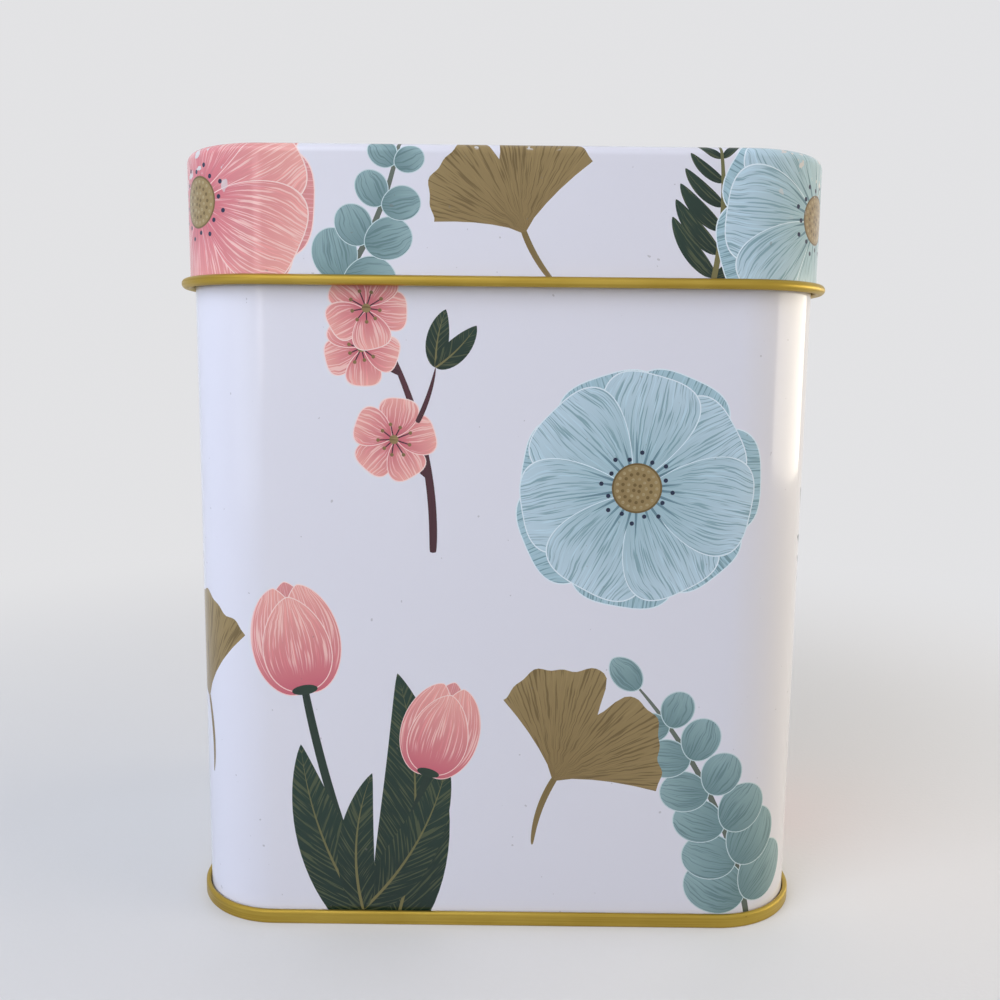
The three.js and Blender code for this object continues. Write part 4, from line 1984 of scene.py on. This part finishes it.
@dataclass(frozen=True)
class FloorPaint(Finish):
    """The floor's matt paint, which fades into the background far from the box.

    Args:
        sky: brightness of the background.
        name: name of the material.
        colour: its colour.
        shade: its colour in the deeper clouds.
        bounce: the colour of the light that it throws back onto the box.
        fade: distances from the box, in metres, between which it fades.
        glow: share of the background's light that it has near the box.
    """

    sky: float
    name: str = "pale_floor"
    colour: Colour = (222, 221, 219)
    shade: Colour = (217, 216, 214)
    bounce: Colour = (128, 122, 114)
    fade: Span = (0.1, 0.42)
    glow: float = 0.3

    def dress(self, graph: Graph, shader: Node, place: Socket) -> None:
        """Join the paint to its shader, as for any finish."""
        pale = graph.blend(graph.noise(place, 3.0, 3.0), rgba(self.colour), rgba(self.shade))
        colour = graph.blend(seen_directly(graph), rgba(self.bounce), pale)
        graph.feed(shader, {"Base Color": colour, "Roughness": 0.6})
        graph.relief(shader, graph.noise(place, 900.0, 2.0), 0.05, MM)

    def surface(self, graph: Graph, shader: Node, place: Socket) -> Socket:
        """The paint near the box, and the background's own light far from it."""
        far = graph.window(graph.length(place), *self.fade, self.glow)
        haze = graph.maths("MULTIPLY", far, seen_directly(graph))
        glow = graph.node("ShaderNodeEmission", {"Color": rgba(SKY), "Strength": self.sky}).outputs[0]
        return graph.node("ShaderNodeMixShader", {0: haze, 1: shader.outputs[0], 2: glow}).outputs[0]


@dataclass
class Studio:
    """The pale room, its lamps and the camera.

    Args:
        eye: the camera's place, in millimetres.
        pitch: how far it looks down, in radians.
        yaw: how far it looks to the side.
        roll: how far it is rolled.
        lens: the camera's focal length.
        floor_reach: radius of the floor, in metres.
        sky: brightness of the background.
        ambient: brightness of the light from all round.
        lamps: the lamps.
    """

    eye: Triple = (0.02, -253.05, 120.2)
    pitch: float = 0.131
    yaw: float = -0.001
    roll: float = 0.011
    lens: float = 36.0
    floor_reach: float = 9.0
    sky: float = 0.8
    ambient: float = 0.17
    lamps: tuple[Lamp, ...] = (
        Lamp("key", (-0.45, -0.52, 0.42), (0.42, 0.8), 4.45, (230, 237, 255), in_gloss=False),
        Lamp("key_low", (-0.45, -0.52, 0.085), (0.42, 0.16), 0.2, (226, 236, 255)),
        Lamp("key_high", (-0.3, -0.36, 0.72), (0.5, 0.22), 0.7, (240, 244, 255)),
        Lamp("panel_front", (-0.4, -1.1, 0.55), (0.2, 1.0), 1.4, (252, 243, 244)),
        Lamp("fill_left", (-0.74, 0.1, 0.4), (0.8, 0.76), 1.2, (136, 186, 255), in_gloss=False),
        Lamp("fill_right", (0.78, -0.26, 0.4), (0.4, 0.76), 1.7, (255, 240, 218), in_gloss=False),
        Lamp("fill_behind", (0.78, 0.16, 0.4), (0.56, 0.76), 3.2, (255, 247, 232), in_gloss=False),
        Lamp("window_right", (0.78, 0.06, 0.11), (0.9, 0.18), 2.0, (255, 246, 228)),
        Lamp("fill_back", (0.1, 1.25, 0.6), (1.8, 1.0), 7.4, (250, 250, 255), in_gloss=False),
    )

    def camera(self) -> None:
        """Set the camera up as the picture was taken."""
        level = Vector((math.cos(self.yaw), -math.sin(self.yaw), 0.0))
        ahead = Vector((math.sin(self.yaw), math.cos(self.yaw), 0.0)) * math.cos(self.pitch)
        ahead.z = -math.sin(self.pitch)
        above = level.cross(ahead)
        right = math.cos(self.roll) * level + math.sin(self.roll) * above
        up = math.cos(self.roll) * above - math.sin(self.roll) * level
        turned = Matrix((right, up, -ahead)).transposed().to_4x4()
        data = bpy.data.cameras.new("camera")
        data.lens = self.lens
        data.clip_start = 0.01
        camera = linked(data)
        camera.matrix_world = Matrix.Translation(Vector(self.eye) * MM) @ turned
        bpy.context.scene.camera = camera

    def floor(self) -> None:
        """Lay the pale floor."""
        work = bmesh.new()
        bmesh.ops.create_circle(work, cap_ends=True, segments=96, radius=self.floor_reach)
        mesh = bpy.data.meshes.new("floor")
        work.to_mesh(mesh)
        work.free()
        mesh.materials.append(FloorPaint(self.sky).material())
        floor = linked(mesh)

    def sky_light(self) -> None:
        """Light the room from all round, with a pale background behind the box."""
        world = bpy.data.worlds.new("studio")
        bpy.context.scene.world = world
        world.use_nodes = True
        world.node_tree.nodes.clear()
        graph = Graph(world.node_tree)
        level = graph.maths("MULTIPLY_ADD", seen_directly(graph), self.sky - self.ambient, self.ambient)
        background = graph.node("ShaderNodeBackground", {"Color": rgba(SKY), "Strength": level})
        graph.node("ShaderNodeOutputWorld", {"Surface": background.outputs[0]})

    def build(self) -> None:
        """Set up the room, the lamps and the camera."""
        self.camera()
        self.floor()
        self.sky_light()
        for lamp in self.lamps:
            lamp.build()
        bpy.context.scene.view_settings.view_transform = "Standard"


@dataclass
class RecipeBox:
    """The whole box: its sheets, its base and what stands in it.

    Args:
        plan: the box's plan.
        pink: inks of a pink flower's upper and lower petals, rims and throat.
    """

    plan: PlanOutline = field(default_factory=PlanOutline)
    pink: tuple[Ink, Ink, Ink, Ink] = (PINK, PINK_BACK, PINK_RIM, PINK_BACK)

    def body_line(self) -> SheetLine:
        """The body's section, from its hook below to its roll above."""
        hook = Run((0.72, 2.48), (0.72, 1.0), steps=2)
        turn = Run((0.29, 1.0), radius=0.43, angles=(0.0, -180.0), steps=8)
        wall = Run((-0.14, 1.0), (-0.14, 162.57), steps=54)
        roll = Run((-0.8, 162.57), radius=0.66, angles=(0.0, 290.0), steps=18)
        return SheetLine((hook, turn, wall, roll))

    def lid_line(self) -> SheetLine:
        """The lid's section, from the flat top's edge down to its curl."""
        edge = Run((-1.07, 161.9), radius=1.96, angles=(90.0, 0.0), steps=8)
        skirt = Run((0.89, 161.9), (0.89, 137.3), steps=9)
        curl = Run((1.81, 137.3), radius=0.92, angles=(180.0, 480.0), steps=22)
        return SheetLine((edge, skirt, curl), printed=-1)

    def base_line(self) -> SheetLine:
        """The base's section, from its panel out to the hook inside the seam."""
        panel = Run((-11.107, 3.6), (-7.107, 3.6), steps=2)
        fall = Run((-7.107, 2.4), radius=1.2, angles=(90.0, 48.6), steps=6)
        rest = Run((-5.52, 4.2), radius=1.2, angles=(-131.4, -90.0), steps=6)
        floor = Run((-5.52, 3.0), (-1.52, 3.0), steps=2)
        chuck = Run((-1.52, 2.05), radius=0.95, angles=(90.0, 0.0), steps=8)
        inner = Run((-0.57, 2.05), (-0.57, 0.5), steps=1)
        foot = Run((-0.21, 0.5), radius=0.36, angles=(180.0, 270.0), steps=6)
        under = Run((-0.21, 0.14), (0.79, 0.14), steps=1)
        heel = Run((0.79, 0.5), radius=0.36, angles=(270.0, 360.0), steps=6)
        outer = Run((1.15, 0.5), (1.15, 2.48), steps=2)
        head = Run((0.72, 2.48), radius=0.43, angles=(0.0, 180.0), steps=12)
        hook = Run((0.29, 2.48), (0.29, 1.0), steps=1)
        return SheetLine((panel, fall, rest, floor, chuck, inner, foot, under, heel, outer, head, hook))

    def body_print(self) -> list[Placement]:
        """Where the motifs stand on the body, the lowest first."""
        rows = (
            (Tulip(stem=52.0, leaf=50.0), -41.0, 52.0, 10.0, 1.25),
            (Tulip(stem=34.0, leaf=36.0, sway=-0.3), -15.0, 34.0, -16.0, 1.1),
            (Eucalyptus(length=44.0), 56.0, -4.0, 8.0, 1.5),
            (Cosmos(26.0), 28.0, 96.0, 10.0),
            (Ginkgo(stalk=11.0), 12.0, 33.0, -32.0, 1.5),
            (Ginkgo(stalk=13.0, sway=-0.6), -67.0, 48.0, 24.0, 1.4),
            (BlossomTwig(length=42.0, sway=0.6), -14.0, 82.0, -2.0, 1.25),
            (Fern(), 101.0, 30.0, 12.0, 1.5),
            (Cosmos(27.0, *self.pink, seed=4), 120.0, 28.0),
            (Tulip(stem=40.0, leaf=40.0), 108.0, 112.0, -8.0, 1.15),
            (BerrySpray(), 86.0, 88.0, 2.0, 1.2),
            (Fern(length=50.0), -92.0, 70.0, -14.0, 1.3),
            (Cosmos(30.0, seed=6), -108.0, 50.0),
            (BerrySpray(seed=11), -84.0, 4.0, -10.0, 1.1),
            (Ginkgo(), -138.0, 96.0, 12.0, 1.5),
            (BlossomTwig(seed=9, sway=0.7), -146.0, 26.0, 4.0, 1.2),
            (Ginkgo(), 150.0, 84.0, -30.0, 1.5),
            (Eucalyptus(length=46.0, seed=8, sway=-0.6), 152.0, 6.0, -8.0, 1.3),
            (Cosmos(28.0, seed=14), 182.0, 98.0),
            (BerrySpray(seed=12), 170.0, 40.0, -18.0, 1.2),
            (Tulip(stem=44.0, leaf=44.0), -180.0, 60.0, 8.0, 1.25),
            (Ginkgo(), -204.0, 26.0, -50.0, 1.4),
        )
        return [Placement(*row) for row in rows]

    def lid_print(self) -> list[Placement]:
        """Where the motifs stand on the lid, the lowest first."""
        rows = (
            (Fern(length=30.0, width=22.0, pairs=6), 41.0, 134.0, -14.0, 1.15),
            (Eucalyptus(length=34.0, pairs=4, leaf=8.4), -36.0, 132.0, -40.0, 1.25),
            (Cosmos(26.0, *self.pink, seed=21), -63.0, 153.0),
            (Ginkgo(), 4.0, 147.0, 20.0, 1.3),
            (Cosmos(25.0, seed=23), 66.0, 151.0),
            (Ginkgo(), 104.0, 150.0, -70.0, 1.3),
            (Tulip(stem=30.0, leaf=26.0), 132.0, 146.0, 66.0, 1.1),
            (Cosmos(26.0, *self.pink, seed=27), 172.0, 146.0),
            (BerrySpray(seed=28), 206.0, 132.0, -30.0, 1.1),
            (Fern(length=34.0, width=26.0, pairs=7), -104.0, 132.0, 30.0, 1.2),
            (Ginkgo(), -132.0, 148.0, 40.0, 1.3),
            (Cosmos(25.0, seed=29), -168.0, 150.0),
            (BlossomTwig(length=34.0, seed=30), -200.0, 134.0, 40.0, 1.1),
            (Tulip(stem=32.0, leaf=34.0), -30.0, 22.0, 34.0, 1.15, Chart.BLANK),
            (Cosmos(25.0, *self.pink, seed=31), 22.0, 10.0, 0.0, 1.0, Chart.BLANK),
            (BerrySpray(seed=32), -14.0, -28.0, 74.0, 1.1, Chart.BLANK),
            (Ginkgo(), 38.0, -24.0, -150.0, 1.2, Chart.BLANK),
        )
        return [Placement(*row) for row in rows]

    def sheets(self, marks: NodeTree) -> None:
        """Build the body, the lid and the base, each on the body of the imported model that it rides.

        Args:
            marks: the group of handling marks.
        """
        printed = PrintedTin(marks).material()
        gold = GoldLacquer(marks).material()
        body = BodySheet(self.plan, self.body_line(), (1.6, 143.0), self.body_print())
        lid = LidSheet(self.plan, self.lid_line(), (137.45, 164.0), self.lid_print())
        base = BasePlate(self.plan, self.base_line())
        pieces = (
            (body.build("printed_body", (printed, gold)), "box", "body_shell", "printed_tinplate"),
            (lid.build("printed_lid", (printed, gold)), "lid", "lid_shell", "printed_tinplate"),
            (base.build("gold_base", gold), "box", "base_plate", "gold_tinplate"),
        )
        for piece, rider, node, slot in pieces:
            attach(piece, rider)
            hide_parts(node)
            LOG.info("%s: %d faces, rides on %s", piece.name, len(piece.data.polygons), rider)

    def stationery(self, frame: dict, fibre: NodeTree) -> None:
        """Dress the cards and dividers.

        Args:
            frame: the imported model.
            fibre: the group of pulp.
        """
        card = PaperStock(fibre, "ruled_card", (240, 236, 222), (228, 222, 204), True).material()
        boards = [
            PaperStock(fibre, "teal_board", (158, 190, 196), (138, 172, 180)).material(),
            PaperStock(fibre, "rose_board", (226, 168, 166), (210, 146, 148)).material(),
            PaperStock(fibre, "kraft_board", (196, 172, 124), (176, 150, 102)).material(),
        ]
        for name, node in frame["nodes"].items():
            if name.startswith("recipe_card"):
                finish = card
            elif name.startswith("divider"):
                finish = boards[int(name.split("_")[-1]) % len(boards)]
            else:
                continue
            for slot in node.material_slots:
                slot.material = finish
            LOG.info("%s: dressed as %s", name, finish.name)


def main() -> None:
    """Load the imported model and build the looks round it."""
    logging.basicConfig(level=logging.INFO, format="%(message)s")
    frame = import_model()
    Studio().build()
    box = RecipeBox()
    box.sheets(HandlingMarks().group())
    box.stationery(frame, PaperFibre().group())


if __name__ == "__main__":
    main()
